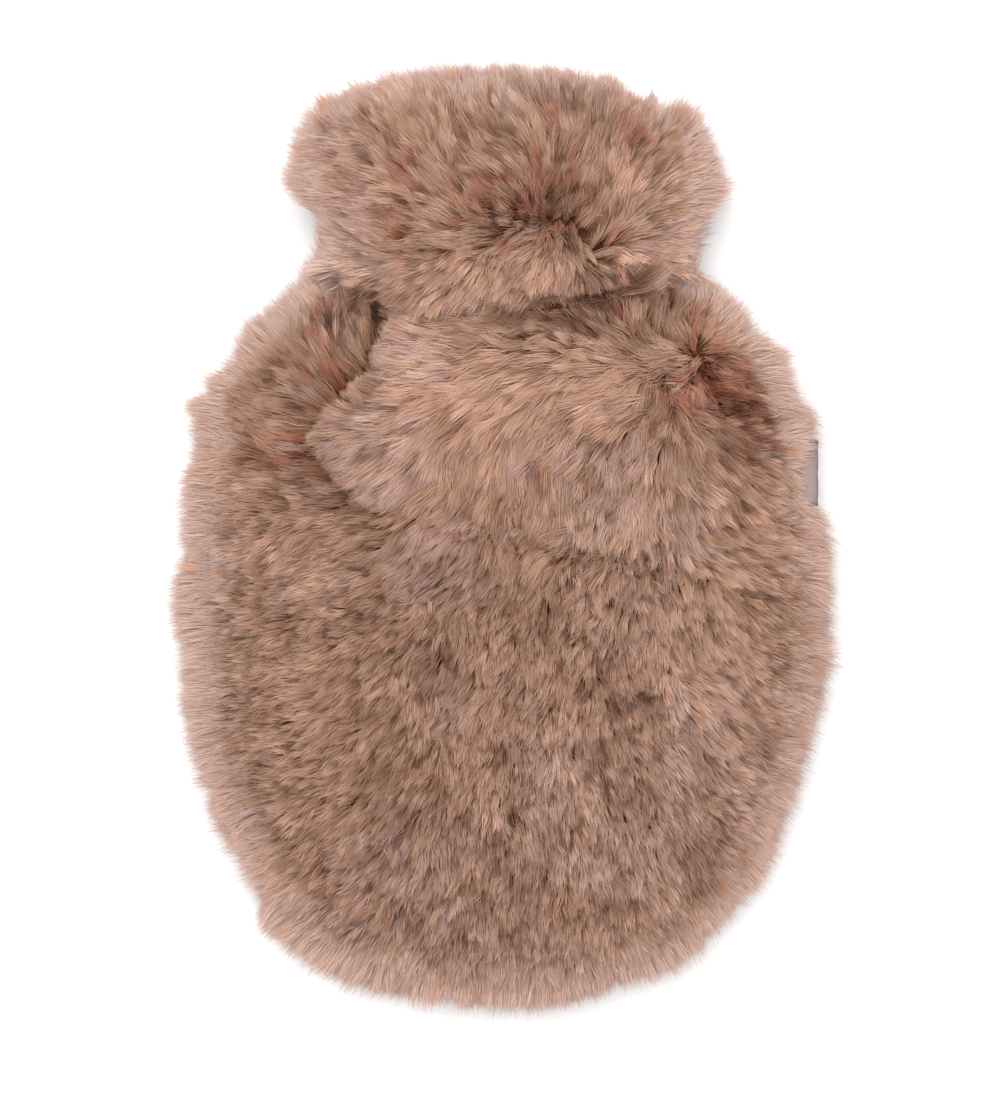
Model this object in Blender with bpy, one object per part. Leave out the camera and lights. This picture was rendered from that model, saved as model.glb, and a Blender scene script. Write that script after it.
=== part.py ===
"""A long-pile faux-fur cover for a hot water bottle, lying on its back with its neck towards +Y.

The cover is a hollow bag of two fur panels, front and back, that meet in a seam all round at SEAM_Z and run up
into a short neck sleeve, which is open at its end. A plump fur collar goes round the sleeve and lies over the
shoulders. The outer faces follow the tips of the pile, and the inner ones the cloth that holds the bottle.
Locks of pile stand out of the edge seam and of the collar's edge, and a bare tape tab is sewn into the right side.
Metres, +Z up. The origin is at the middle of the part's footprint on the surface that it lies on.
"""

import math
import random
from typing import NamedTuple

import bmesh
import bpy
from mathutils import Vector, noise

# Body, measured to the pile's face. The locks reach further.
CENTRE_Y = -0.026  # where the body is widest
SEAM_Z = 0.030
HALF_WIDTH = 0.1100
LOW_LENGTH = 0.1375  # from the widest place to the closed end
HIGH_LENGTH = 0.134  # from the widest place to where the shoulders would close
CROWN = 0.050  # above the seam
BELLY = 0.034  # below the seam, flattened where it meets the surface
LOW_POWER = 2.5  # squareness of the outline below the widest place
HIGH_POWER = 2.6  # and above it
SIDE_POWER = 2.6  # squareness of the body's profile seen from the side
SECTION_POWER = 2.5  # squareness of a slice across the body
CROWN_RUN = 0.144  # how far the crown takes to come down to the neck
BELLY_RISE_Y = 0.040  # where the underside starts to rise to the neck
BELLY_RUN = 0.068

# Wall, from the pile's face to the cloth's inner face
SIDE_WALL = 0.0155
END_WALL = 0.016
CROWN_WALL = 0.017
BELLY_WALL = 0.009
SHOULDER_WALL = 0.014
INNER_CROWN_RUN = 0.104

# Neck sleeve
NECK_HALF_WIDTH = 0.051
NECK_HALF_HEIGHT = 0.0215
NECK_WALL = 0.005
MOUTH_Y = 0.1580

# Collar, a plump barrel round the sleeve
COLLAR_CENTRE_Y = 0.1215
COLLAR_HALF_LENGTH = 0.0440
COLLAR_HALF_WIDTH = 0.0715
COLLAR_CROWN = 0.0455
COLLAR_BELLY = 0.036
COLLAR_POWER = 3.3
COLLAR_TAPER = 0.035  # how much wider it is at its top end, and narrower at its hem

# Pile
LUMP_SPACING = 0.016
LUMP_HEIGHT = 0.0030
LOCK_PITCH = 0.0066
LOCK_LENGTH = 0.0102
COLLAR_LOCK_LENGTH = 0.0110
LOCK_LEAN = 0.20  # how far a tip leans along the strip, as a share of the lock's length
STRIP_THICKNESS = 0.0014
STRIP_HALF_HEIGHT = 0.0036

# Side tab, a folded tape sewn into the right-hand seam
TAB_LOW_Y = 0.011
TAB_HIGH_Y = 0.035
TAB_THICKNESS = 0.0011
TAB_INNER_X = 0.096
TAB_OUTER_X = 0.1160

# Fits
SEAM_GAP = 0.0003
STRIP_GAP = 0.0005
COLLAR_GAP = 0.0012

# Mesh steps
LOW_ROWS = 20
HIGH_ROWS = 24
SECTION_STEPS = 38
COLLAR_ROWS = 20
COLLAR_STEPS = 52


class Form(NamedTuple):
    """The driving sizes of a bottle-shaped form."""

    half_width: float
    low_length: float
    high_length: float
    crown: float
    belly: float
    neck_half_width: float
    neck_half_height: float
    crown_run: float
    end_y: float


class Section(NamedTuple):
    """One slice across a form."""

    y: float
    right: float
    left: float
    top: float
    bottom: float


class Swell(NamedTuple):
    """An unevenness of the outline: the half width grows by that share near y."""

    side: str
    y: float
    reach: float
    share: float


class Crease(NamedTuple):
    """A soft trough in the pile along a line of (x, y) points, with a lip that rises on its +X side."""

    name: str
    line: tuple
    depth: float
    reach: float
    lip: float


OUTER = Form(
    HALF_WIDTH,
    LOW_LENGTH,
    HIGH_LENGTH,
    CROWN,
    BELLY,
    NECK_HALF_WIDTH,
    NECK_HALF_HEIGHT,
    CROWN_RUN,
    MOUTH_Y,
)
INNER = Form(
    HALF_WIDTH - SIDE_WALL,
    LOW_LENGTH - END_WALL,
    HIGH_LENGTH - SHOULDER_WALL,
    CROWN - CROWN_WALL,
    SEAM_Z - BELLY_WALL,
    NECK_HALF_WIDTH - NECK_WALL,
    NECK_HALF_HEIGHT - NECK_WALL,
    INNER_CROWN_RUN,
    MOUTH_Y,
)

SWELLS = (
    Swell("left", 0.050, 0.012, 0.032),
    Swell("left", 0.076, 0.012, -0.026),
    Swell("right", 0.054, 0.014, -0.010),
    Swell("left", -0.012, 0.018, 0.012),
    Swell("right", -0.030, 0.022, 0.010),
    Swell("right", -0.098, 0.020, -0.020),
    Swell("left", -0.146, 0.010, 0.050),
    Swell("right", -0.150, 0.016, -0.035),
)
COLLAR_SWELLS = (
    Swell("left", 0.107, 0.012, -0.065),
    Swell("left", 0.134, 0.012, 0.012),
    Swell("right", 0.099, 0.012, -0.030),
    Swell("right", 0.130, 0.016, 0.018),
)

CREASES = (
    Crease("yoke_fold_upper", ((-0.048, 0.084), (-0.050, 0.063)), 0.0065, 0.0080, 0.0030),
    Crease("yoke_fold_turn", ((-0.047, 0.058), (-0.066, 0.046), (-0.072, 0.035)), 0.0032, 0.0080, 0.0032),
    Crease("yoke_fold_lower", ((-0.072, 0.035), (-0.068, 0.023), (-0.040, 0.006)), 0.0038, 0.0080, 0.0034),
    Crease("right_shoulder", ((0.066, 0.066), (0.079, 0.054), (0.092, 0.047)), 0.0065, 0.0100, 0.0),
    Crease("right_side", ((0.069, 0.003), (0.084, 0.006), (0.104, 0.004)), 0.0034, 0.0075, 0.0),
    Crease("breast", ((0.016, 0.039), (0.044, 0.037)), 0.0018, 0.0070, 0.0),
)
COLLAR_CREASES = (
    Crease("collar_whorl", ((-0.008, 0.112), (0.010, 0.122), (0.026, 0.118)), 0.0050, 0.0080, 0.0),
    Crease("collar_pinch", ((0.036, 0.106), (0.045, 0.096)), 0.0065, 0.0070, 0.0),
    Crease("collar_left_fold", ((-0.041, 0.128), (-0.040, 0.105)), 0.0034, 0.0070, 0.0),
)
LIP_RUN = 0.026  # how far a lip takes to fade

SLEEVE_TONE = (0.30, 0.175, 0.125)
COLOURS = {
    "front_panel": (0.40, 0.24, 0.18),
    "back_panel": (0.37, 0.22, 0.165),
    "collar": (0.42, 0.25, 0.185),
    "seam_pile": (0.52, 0.34, 0.27),
    "collar_pile": (0.54, 0.36, 0.28),
    "side_tab": (0.48, 0.44, 0.48),
}


def clear_scene():
    for obj in list(bpy.data.objects):
        bpy.data.objects.remove(obj)


def fabric(name, colour, roughness=0.9):
    material = bpy.data.materials.new(name)
    material.use_nodes = True
    shader = material.node_tree.nodes["Principled BSDF"]
    shader.inputs["Base Color"].default_value = (*colour, 1.0)
    shader.inputs["Roughness"].default_value = roughness
    shader.inputs["Metallic"].default_value = 0.0
    return material


def add_object(name, bm, colour):
    """Closes the mesh's normals outwards and links it as an object with its own material."""
    bmesh.ops.recalc_face_normals(bm, faces=bm.faces)
    mesh = bpy.data.meshes.new(name)
    bm.to_mesh(mesh)
    bm.free()
    mesh.shade_smooth()
    mesh.set_sharp_from_angle(angle=math.radians(50))
    mesh.materials.append(fabric(name, colour))
    obj = bpy.data.objects.new(name, mesh)
    bpy.context.scene.collection.objects.link(obj)
    return obj


def cut(obj, cutter):
    """Takes the cutter's form out of the object."""
    cutter.hide_render = True
    cutter.display_type = "WIRE"
    boolean = obj.modifiers.new("cut", "BOOLEAN")
    boolean.operation = "DIFFERENCE"
    boolean.object = cutter


def smooth(t):
    t = min(max(t, 0.0), 1.0)
    return t * t * (3 - 2 * t)


def bow(t, power):
    """A superellipse's half width at the share t of its length."""
    return max(0.0, 1 - abs(t) ** power) ** (1 / power)


def swell(side, y, rows=SWELLS):
    found = [row for row in rows if row.side == side]
    return 1 + sum(row.share * math.exp(-(((y - row.y) / row.reach) ** 2)) for row in found)


def with_neck(width, neck):
    """The larger of a body's and its neck's half width, with a soft turn between them."""
    sharpness = 9
    return (width**sharpness + neck**sharpness) ** (1 / sharpness)


def low_section(form, share):
    """The slice at a share of the turn from the closed end, 0, to the widest place, 1."""
    turn = share * math.pi / 2
    y = CENTRE_Y - form.low_length * math.cos(turn) ** (2 / LOW_POWER)
    width = form.half_width * math.sin(turn) ** (2 / LOW_POWER)
    rise = math.sin(turn) ** (2 / SIDE_POWER)
    return Section(
        y, width * swell("right", y), width * swell("left", y), form.crown * rise, form.belly * rise
    )


def high_section(form, y):
    """The slice at y, from the widest place up to the neck's end."""
    width = form.half_width * bow((y - CENTRE_Y) / form.high_length, HIGH_POWER)
    right = with_neck(width * swell("right", y), form.neck_half_width)
    left = with_neck(width * swell("left", y), form.neck_half_width)
    neck = form.neck_half_height
    top = neck + (form.crown - neck) * (1 - smooth((y - CENTRE_Y) / form.crown_run))
    bottom = neck + (form.belly - neck) * (1 - smooth((y - BELLY_RISE_Y) / BELLY_RUN))
    return Section(y, right, left, top, bottom)


def sections(form, low_rows, high_rows):
    low = [low_section(form, (k + 1) / low_rows) for k in range(low_rows)]
    step = (form.end_y - CENTRE_Y) / high_rows
    return low + [high_section(form, CENTRE_Y + (k + 1) * step) for k in range(high_rows)]


def on_section(section, angle, power=SECTION_POWER):
    """The point and the outward direction of a slice at an angle: 0 at the right seam and 90 degrees at the top."""
    c, s = math.cos(angle), math.sin(angle)
    width = section.right if c >= 0 else section.left
    height = section.top if s >= 0 else section.bottom
    x = math.copysign(width * abs(c) ** (2 / power), c)
    z = math.copysign(height * abs(s) ** (2 / power), s)
    outward = Vector(
        (
            math.copysign(abs(x / width) ** (power - 1) / width, c),
            0.0,
            math.copysign(abs(z / height) ** (power - 1) / height, s),
        )
    )
    return Vector((x, section.y, SEAM_Z + z)), outward.normalized()


def beside(point, start, end):
    """(distance, side) of a plan point from a stretch of line. The side is above 0 on the left of the way."""
    way = end - start
    along = min(max((point - start).dot(way) / way.length_squared, 0.0), 1.0)
    off = point - (start + way * along)
    return off.length, way.x * off.y - way.y * off.x


def relief(x, y, creases):
    """How far the pile's face is pressed in or raised at a plan point."""
    point, height = Vector((x, y)), 0.0
    for crease in creases:
        line = [Vector(p) for p in crease.line]
        distance, side = min(beside(point, a, b) for a, b in zip(line, line[1:]))
        height -= crease.depth * math.exp(-((distance / crease.reach) ** 2))
        if side > 0:
            height += crease.lip * smooth(distance / crease.reach) * math.exp(-((distance / LIP_RUN) ** 2))
    return height


def lump(point):
    """The tufted unevenness of the pile's face."""
    return LUMP_HEIGHT * noise.noise(point / LUMP_SPACING)


def body_face_point(section, angle):
    """A point of the body's outer face, with its creases and lumps, flat where it meets the surface."""
    point, outward = on_section(section, angle)
    away_from_seam = smooth((abs(point.z - SEAM_Z) - 2 * STRIP_HALF_HEIGHT) / 0.010)
    below_neck = 1 - smooth((section.y - 0.070) / 0.022)
    height = lump(point) * away_from_seam * below_neck
    if angle < math.pi:
        height += relief(point.x, point.y, CREASES) * away_from_seam
    point += outward * height
    point.z = max(point.z, 0.0)
    return point


def seam_level(point, side):
    """The point moved off the seam's plane by half the gap, if it lies on it."""
    level = SEAM_Z + side * SEAM_GAP / 2
    if (point.z - level) * side < 0:
        point.z = level
    return point


def shell_grid(bm, form, side, low_rows, high_rows, steps, face_point):
    """(pole, rows of vertices) of one face of a half shell. Each row runs over the shell from right to left."""
    pole = bm.verts.new((0.0, CENTRE_Y - form.low_length, SEAM_Z + side * SEAM_GAP / 2))
    rows = []
    for section in sections(form, low_rows, high_rows):
        angles = [side * math.pi * j / steps for j in range(steps + 1)]
        points = [seam_level(face_point(section, a % (2 * math.pi)), side) for a in angles]
        rows.append([bm.verts.new(p) for p in points])
    return pole, rows


def fill_grid(bm, pole, rows):
    for a, b in zip(rows[0], rows[0][1:]):
        bm.faces.new((pole, a, b))
    for low, high in zip(rows, rows[1:]):
        for j in range(len(low) - 1):
            bm.faces.new((low[j], low[j + 1], high[j + 1], high[j]))


def join_edges(bm, fine, coarse):
    """Closes the flat strip between a fine edge and one with half as many steps."""
    for k in range(len(coarse) - 1):
        bm.faces.new((*fine[2 * k : 2 * k + 3], coarse[k + 1], coarse[k]))


def half_shell(name, side):
    """One panel: the outer face, the inner face at half the steps, and the flat edges that join them."""
    bm = bmesh.new()
    pole, outer = shell_grid(bm, OUTER, side, LOW_ROWS, HIGH_ROWS, SECTION_STEPS, body_face_point)
    inner_pole, inner = shell_grid(
        bm,
        INNER,
        side,
        LOW_ROWS // 2,
        HIGH_ROWS // 2,
        SECTION_STEPS // 2,
        lambda section, angle: on_section(section, angle)[0],
    )
    fill_grid(bm, pole, outer)
    fill_grid(bm, inner_pole, inner)
    for j in (0, -1):
        join_edges(bm, [pole] + [row[j] for row in outer], [inner_pole] + [row[j] for row in inner])
    join_edges(bm, outer[-1], inner[-1])
    return add_object(name, bm, COLOURS[name])


def loft(bm, rings, first=None, last=None):
    """Joins closed rings of points into a skin. An end is closed by a pole, or by a flat face without one."""
    loops = [[bm.verts.new(p) for p in ring] for ring in rings]
    for low, high in zip(loops, loops[1:]):
        for j in range(len(low)):
            k = (j + 1) % len(low)
            bm.faces.new((low[j], low[k], high[k], high[j]))
    for pole, loop in ((first, loops[0]), (last, loops[-1])):
        if pole is None:
            bm.faces.new(loop)
            continue
        tip = bm.verts.new(pole)
        for j in range(len(loop)):
            bm.faces.new((tip, loop[j], loop[(j + 1) % len(loop)]))


def clearance_form():
    """The body and sleeve with COLLAR_GAP added all round, which the collar is cut to."""
    rows = sections(OUTER, LOW_ROWS, HIGH_ROWS)
    rows.append(rows[-1]._replace(y=COLLAR_CENTRE_Y + 1.3 * COLLAR_HALF_LENGTH))
    angles = [math.pi * j / SECTION_STEPS for j in range(2 * SECTION_STEPS)]
    rings = [[body_face_point(section, a) for a in angles] for section in rows]
    bm = bmesh.new()
    loft(bm, rings, first=(0.0, CENTRE_Y - LOW_LENGTH, SEAM_Z))
    bmesh.ops.recalc_face_normals(bm, faces=bm.faces)
    bm.normal_update()
    shifts = [(v, v.normal * COLLAR_GAP) for v in bm.verts]
    for v, shift in shifts:
        v.co += shift
    return add_object("shoulder_clearance", bm, SLEEVE_TONE)


def collar_section(turn):
    """The collar's slice at a turn from -90 degrees, its hem, to 90, its top end."""
    s, c = math.sin(turn), math.cos(turn)
    y = COLLAR_CENTRE_Y + math.copysign(COLLAR_HALF_LENGTH * abs(s) ** (2 / COLLAR_POWER), s)
    bulge = abs(c) ** (2 / COLLAR_POWER)
    width = COLLAR_HALF_WIDTH * bulge * (1 + COLLAR_TAPER * (y - COLLAR_CENTRE_Y) / COLLAR_HALF_LENGTH)
    right = width * swell("right", y, COLLAR_SWELLS)
    left = width * swell("left", y, COLLAR_SWELLS)
    return Section(y, right, left, COLLAR_CROWN * bulge, COLLAR_BELLY * bulge)


def collar_path(share):
    """(turn, angle) along the collar's edge, from its right hem, 0, over the mouth, 0.5, to its left hem, 1."""
    s = 2 * share - 1
    turn = math.radians(60 * (1 - abs(s) ** 2.4))
    return turn, math.radians(90 + 80 * s)


def collar_place(turn, angle):
    """(point, outward direction) on the collar's smooth form."""
    point, _ = on_section(collar_section(turn), angle)
    step = math.radians(0.5)
    up = on_section(collar_section(turn + step), angle)[0] - point
    around = on_section(collar_section(turn), angle + step)[0] - point
    return point, around.cross(up).normalized() * -1


def collar():
    """A plump barrel with a whorl and creases in its pile, cut to the sleeve and the shoulders."""
    path = [collar_place(*collar_path(k / 40))[0] for k in range(41)]
    bm = bmesh.new()
    rings = []
    for k in range(1, COLLAR_ROWS):
        turn = math.pi * (k / COLLAR_ROWS - 0.5)
        ring = []
        for j in range(COLLAR_STEPS):
            point, outward = on_section(collar_section(turn), 2 * math.pi * j / COLLAR_STEPS)
            clear_of_strip = smooth((min((point - p).length for p in path) - 0.006) / 0.008)
            height = lump(point)
            if point.z > SEAM_Z:
                height += relief(point.x, point.y, COLLAR_CREASES)
            point += outward * height * clear_of_strip
            point.z = max(point.z, 0.0)
            ring.append(point)
        rings.append(ring)
    ends = [Vector((0.0, COLLAR_CENTRE_Y + s * COLLAR_HALF_LENGTH, SEAM_Z)) for s in (-1, 1)]
    loft(bm, rings, first=ends[0], last=ends[1])
    obj = add_object("collar", bm, COLOURS["collar"])
    cut(obj, clearance_form())
    return obj


class Place(NamedTuple):
    """A place on the line that a strip of pile follows."""

    point: Vector
    outward: Vector
    across: Vector


def spaced(points, pitch):
    """Points at an even pitch along a fine line of points."""
    lengths = [0.0]
    for a, b in zip(points, points[1:]):
        lengths.append(lengths[-1] + (b - a).length)
    count = max(2, round(lengths[-1] / pitch))
    found, k = [], 0
    for n in range(count + 1):
        goal = lengths[-1] * n / count
        while k < len(points) - 2 and lengths[k + 1] < goal:
            k += 1
        found.append(points[k].lerp(points[k + 1], (goal - lengths[k]) / (lengths[k + 1] - lengths[k])))
    return found


def add_lock(bm, base, tip):
    """A four-sided tapered lock with a bend halfway, grown from a quad of vertices."""
    middle = sum((v.co for v in base), Vector()) / 4
    waist = middle.lerp(tip, 0.52)
    waist.z += 0.12 * (waist.z - tip.z)
    ring = [bm.verts.new(waist + (v.co - middle) * 0.62) for v in base]
    apex = bm.verts.new(tip)
    for j in range(4):
        k = (j + 1) % 4
        bm.faces.new((base[j], base[k], ring[k], ring[j]))
        bm.faces.new((ring[j], ring[k], apex))


def pile_strip(name, places, length, lean, seed, colour):
    """A narrow strip along places with two rows of locks on its outer side, each tip length away from its root."""
    draw = random.Random(seed)
    bm = bmesh.new()
    rings = []
    for place in places:
        base = place.point + place.outward * STRIP_GAP
        face = base + place.outward * STRIP_THICKNESS
        rise = place.across * STRIP_HALF_HEIGHT
        corners = (base - rise, face - rise, face, face + rise, base + rise)
        rings.append([bm.verts.new(p) for p in corners])
    for n, (ring, after) in enumerate(zip(rings, rings[1:])):
        for j in (0, 3, 4):
            k = (j + 1) % 5
            bm.faces.new((ring[j], ring[k], after[k], after[j]))
        outward = (places[n].outward + places[n + 1].outward).normalized()
        for j, tilt in ((1, -1), (2, 1)):
            base = (ring[j], ring[j + 1], after[j + 1], after[j])
            middle = sum((v.co for v in base), Vector()) / 4
            along = (places[n + 1].point - places[n].point).normalized()
            way = outward + lean + along * draw.uniform(-LOCK_LEAN, LOCK_LEAN)
            way += places[n].across * (tilt * draw.uniform(0.20, 0.42))
            add_lock(bm, base, middle + way.normalized() * (length * draw.uniform(0.72, 1.0)))
    bm.faces.new(rings[0])
    bm.faces.new(rings[-1])
    return add_object(name, bm, colour)


def seam_line(side, low_y, high_y):
    """Fine points of the body's outline at the seam on one side, from low_y up to high_y."""
    x_sign = 1 if side == "right" else -1
    count = 160
    low = [low_section(OUTER, (k + 0.02) / count) for k in range(count)]
    step = (high_y - CENTRE_Y) / count
    rows = low + [high_section(OUTER, CENTRE_Y + k * step) for k in range(count + 1)]
    rows = [row for row in rows if low_y <= row.y <= high_y]
    return [Vector((x_sign * getattr(row, side), row.y, SEAM_Z)) for row in rows]


def seam_places(line):
    """Evenly spaced places along a seam line, facing away from the body."""
    points = spaced(line, LOCK_PITCH)
    places = []
    for n, point in enumerate(points):
        way = points[min(n + 1, len(points) - 1)] - points[max(n - 1, 0)]
        outward = Vector((way.y, -way.x, 0.0)).normalized()
        places.append(Place(point, outward, Vector((0.0, 0.0, 1.0))))
    return places


def seam_piles():
    """The locks round the body's edge, parted where the tab comes out."""
    lowest = CENTRE_Y - LOW_LENGTH
    highest = 0.090
    combed = Vector((0.0, -0.22, 0.0))
    left = seam_line("left", lowest, highest)
    right = seam_line("right", lowest, TAB_LOW_Y - 2 * SEAM_GAP)
    round_the_end = list(reversed(left)) + right
    colour = COLOURS["seam_pile"]
    pile_strip("seam_pile_left", seam_places(round_the_end), LOCK_LENGTH, combed, 3, colour)
    above_tab = seam_line("right", TAB_HIGH_Y + 2 * SEAM_GAP, highest)
    pile_strip("seam_pile_right", seam_places(above_tab), LOCK_LENGTH, combed, 4, colour)


def collar_pile():
    """The locks along the collar's edge, which pass over the mouth on its front side."""
    fine = 240
    ways = [collar_path(k / fine) for k in range(fine + 1)]
    points = spaced([collar_place(*way)[0] for way in ways], LOCK_PITCH)
    places = []
    for n, point in enumerate(points):
        nearest = min(ways, key=lambda way: (collar_place(*way)[0] - point).length)
        outward = collar_place(*nearest)[1]
        way = points[min(n + 1, len(points) - 1)] - points[max(n - 1, 0)]
        across = outward.cross(way).normalized() * -1
        places.append(Place(point, outward, across))
    return places


def side_tab():
    """The bare folded tape in the right-hand seam, and the slot that it takes in the front panel's edge."""
    bm = bmesh.new()
    bmesh.ops.create_cube(bm, size=1.0)
    depth = TAB_OUTER_X - TAB_INNER_X
    bmesh.ops.scale(bm, vec=(depth, TAB_HIGH_Y - TAB_LOW_Y, TAB_THICKNESS), verts=bm.verts)
    middle = Vector(((TAB_OUTER_X + TAB_INNER_X) / 2, (TAB_HIGH_Y + TAB_LOW_Y) / 2, 0.0))
    middle.z = SEAM_Z + SEAM_GAP + TAB_THICKNESS / 2
    bmesh.ops.translate(bm, vec=middle, verts=bm.verts)
    fold = [e for e in bm.edges if all(v.co.x > TAB_OUTER_X - 1e-6 for v in e.verts)]
    long_fold = [e for e in fold if abs(e.verts[0].co.y - e.verts[1].co.y) > TAB_THICKNESS * 2]
    bmesh.ops.bevel(bm, geom=long_fold, offset=TAB_THICKNESS * 0.45, segments=3, affect="EDGES", profile=0.5)
    return add_object("side_tab", bm, COLOURS["side_tab"])


def tab_slot():
    """The form that the front panel's edge gives up to the tab."""
    bm = bmesh.new()
    bmesh.ops.create_cube(bm, size=1.0)
    gap = 2 * SEAM_GAP
    depth = TAB_OUTER_X - TAB_INNER_X + 2 * gap
    bmesh.ops.scale(
        bm, vec=(depth, TAB_HIGH_Y - TAB_LOW_Y + gap, 2 * (TAB_THICKNESS + gap)), verts=bm.verts
    )
    middle = ((TAB_OUTER_X + TAB_INNER_X) / 2, (TAB_HIGH_Y + TAB_LOW_Y) / 2, SEAM_Z)
    bmesh.ops.translate(bm, vec=middle, verts=bm.verts)
    return add_object("tab_slot", bm, SLEEVE_TONE)


def centre_footprint():
    """Moves all of it so that the origin is at the middle of the solids' footprint."""
    solids = [obj for obj in bpy.data.objects if not obj.hide_render]
    corners = [v.co for obj in solids for v in obj.data.vertices]
    x_middle = (min(v.x for v in corners) + max(v.x for v in corners)) / 2
    y_middle = (min(v.y for v in corners) + max(v.y for v in corners)) / 2
    for obj in bpy.data.objects:
        obj.location -= Vector((x_middle, y_middle, 0.0))


def main():
    clear_scene()
    front = half_shell("front_panel", 1)
    cut(front, tab_slot())
    half_shell("back_panel", -1)
    collar()
    seam_piles()
    lift = Vector((0.0, 0.10, 0.06))
    pile_strip("collar_pile", collar_pile(), COLLAR_LOCK_LENGTH, lift, 5, COLOURS["collar_pile"])
    side_tab()
    centre_footprint()


main()
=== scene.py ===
"""The looks of the hot water bottle cover: long soft pile on its knitted backing, and the tab.

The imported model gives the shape. Its outer faces are the mean face of the pile, so the backing
lies a pile's depth under them, and every strand is rooted on it.
"""

import math
from collections import namedtuple

import bpy
import numpy as np
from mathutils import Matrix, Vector
from mathutils.bvhtree import BVHTree
from mathutils.kdtree import KDTree


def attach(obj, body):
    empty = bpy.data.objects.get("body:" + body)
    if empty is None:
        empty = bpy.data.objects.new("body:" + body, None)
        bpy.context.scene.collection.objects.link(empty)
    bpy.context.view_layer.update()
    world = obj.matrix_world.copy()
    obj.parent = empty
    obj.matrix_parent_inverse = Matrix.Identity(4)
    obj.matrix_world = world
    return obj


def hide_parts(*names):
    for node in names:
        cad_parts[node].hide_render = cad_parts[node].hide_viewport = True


SEED = 20

# The photograph: a pixel in metres at the height of the seam, and the pixel over the origin.
PIXEL = 0.0003676
ORIGIN_X = 504.0
ORIGIN_Y = 536.0
FRAME_CENTRE = (-0.0015, -0.0051)
FRAME_LONG_SIDE = 0.4044
LENS = 100.0
SENSOR = 36.0
SEAM_Z = 0.030
CAMERA_HEIGHT = FRAME_LONG_SIDE * LENS / SENSOR

# The solids: the line down the middle, what counts as the seam, and rays through the walls.
MIDDLE_ENDS = (-0.09, 0.158)
MIDDLE_Z = 0.032
AT_SEAM = 0.0009
RAY_START = 0.0004
RAY_REACH = 0.05
WALL_IF_OPEN = 0.02

# Where the pieces of pile meet, and how much higher they reach at the neck's sides.
FRONT_LOW_Y = -0.065
FRONT_HIGH_Y = 0.005
BACK_SPLIT_Y = -0.03
COLLAR_SPLIT_Z = 0.034
COLLAR_HEM_Y = 0.0803
UNDER_COLLAR = 0.011
SIDE_X = 0.035
FRONT_SIDE_RISE = 0.016
BACK_SIDE_RISE = 0.027

# The pile: its depth, how long and flat it lies, how its locks gather and how light they are.
Nap = namedtuple("Nap", "length lean clump spacing on_collar")
BODY_NAP = Nap(0.0130, 0.52, 0.62, 0.0016, False)
YOKE_NAP = BODY_NAP._replace(spacing=0.0018)
BACK_NAP = BODY_NAP._replace(spacing=0.0022)
COLLAR_NAP = Nap(0.0152, 0.66, 0.5, 0.0019, True)
COLLAR_BACK_NAP = BACK_NAP._replace(on_collar=True)
PILE_DEPTH = 0.0095
LEAST_DEPTH = 0.0004
LEAST_BACKING = 0.0025
RIM_LENGTH = 0.0205
RIM_CLUMP = 0.3
DROOP = 0.4
FLOOR_CLEARANCE = 0.0004
LEAST_RISE = 0.0008
LOCK_LIGHT = 0.54
LIGHT_GIVEN_BACK = 0.06
DARK_LOCKS = 0.17
DARKENED = 0.46
EXTRA_AT_PARTINGS = 1.0
EXTRA_WHERE_LONG = 1.6
VISIBLE_TIME = 0.72
COMB_REACH = 11.0
PARTING_REACH = 7
# In pixels: how far in from the outline the rim begins, and over what it grows to its full
# share; the left, right and top of the collar's hem; and from where to where it is cut.
RIM_BEGINS = 70
RIM_GROWS = 35
HEM_BOX = (325, 690, 270)
CUT_SPAN = (330, 655)
# How locks vary: by how much, and over how many metres, smoothly; and the ranges drawn from.
TURN_DRIFTS = ((0.14, 0.030), (0.16, 0.010))
LIGHT_DRIFTS = ((0.06, 0.03), (0.06, 0.010))
LEAN_DRIFT = (0.08, 0.014)
LENGTH_DRIFT = (0.04, 0.02)
REACH_DRIFT = (0.025, 0.006)
DARK_DRIFT = (0.4, 0.02)
LEANS = (0.88, 1.08)
LENGTHS = (0.9, 1.07)
REACHES = (0.91, 1.05)
DARK_LENGTHS = (0.74, 0.88)
# How strands vary within a lock: ranges, and in metres their curl, bend and least height.
STRAND_LENGTHS = (0.72, 1.06)
STRAND_LEANS = (0.92, 1.06)
STRAND_HOLDS = (0.4, 1.3)
STRAND_WIDTHS = (0.75, 1.25)
CURL = 0.0006
STRAND_BEND = 0.0002
LOCK_BEND = 0.0005
FLOOR_SPREAD = 0.0008
# Strands: the times of their rings from root to tip, the rings' widths as shares of thick, and
# how many there are to each strand that is asked for.
Form = namedtuple("Form", "times widths thick share")
FORMS = [
    Form((0.0, 0.55, 1.0), (1.1, 1.0), 0.00042, 1.0),
    Form((0.28, 1.0), (1.0,), 0.00036, 2.0),
]
TONES = 4
TONE_WIDTH = 0.003
RUSSET, TAN, MAUVE, PALE = range(TONES)

# What the photograph shows, in its pixels: the pile's heading in degrees, 0 to the right and 90
# up the picture, partings painted dark as shade, patches of one tone, where the pile is painted
# lighter or darker, partly for its tone and partly as painted light and shade, where it is longer,
# flatter and more astray, where the rim is trimmed, and three lines.
Comb = namedtuple("Comb", "x y heading")
Parting = namedtuple("Parting", "x0 y0 x1 y1 width depth")
Patch = namedtuple("Patch", "x y half_width half_height share tone")
Shade = namedtuple("Shade", "x y half_width half_height lift")
Lie = namedtuple("Lie", "x y half_width half_height growth lean stray")
Trim = namedtuple("Trim", "x y reach growth")


def rows(kind, values):
    """A table whose rows are all of one kind, which names its columns."""
    return [kind(*row) for row in values]


def groups(kind, values):
    """The same, where each group of rows has the same last column."""
    return [kind(*row, last) for last, group in values for row in group]


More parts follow.
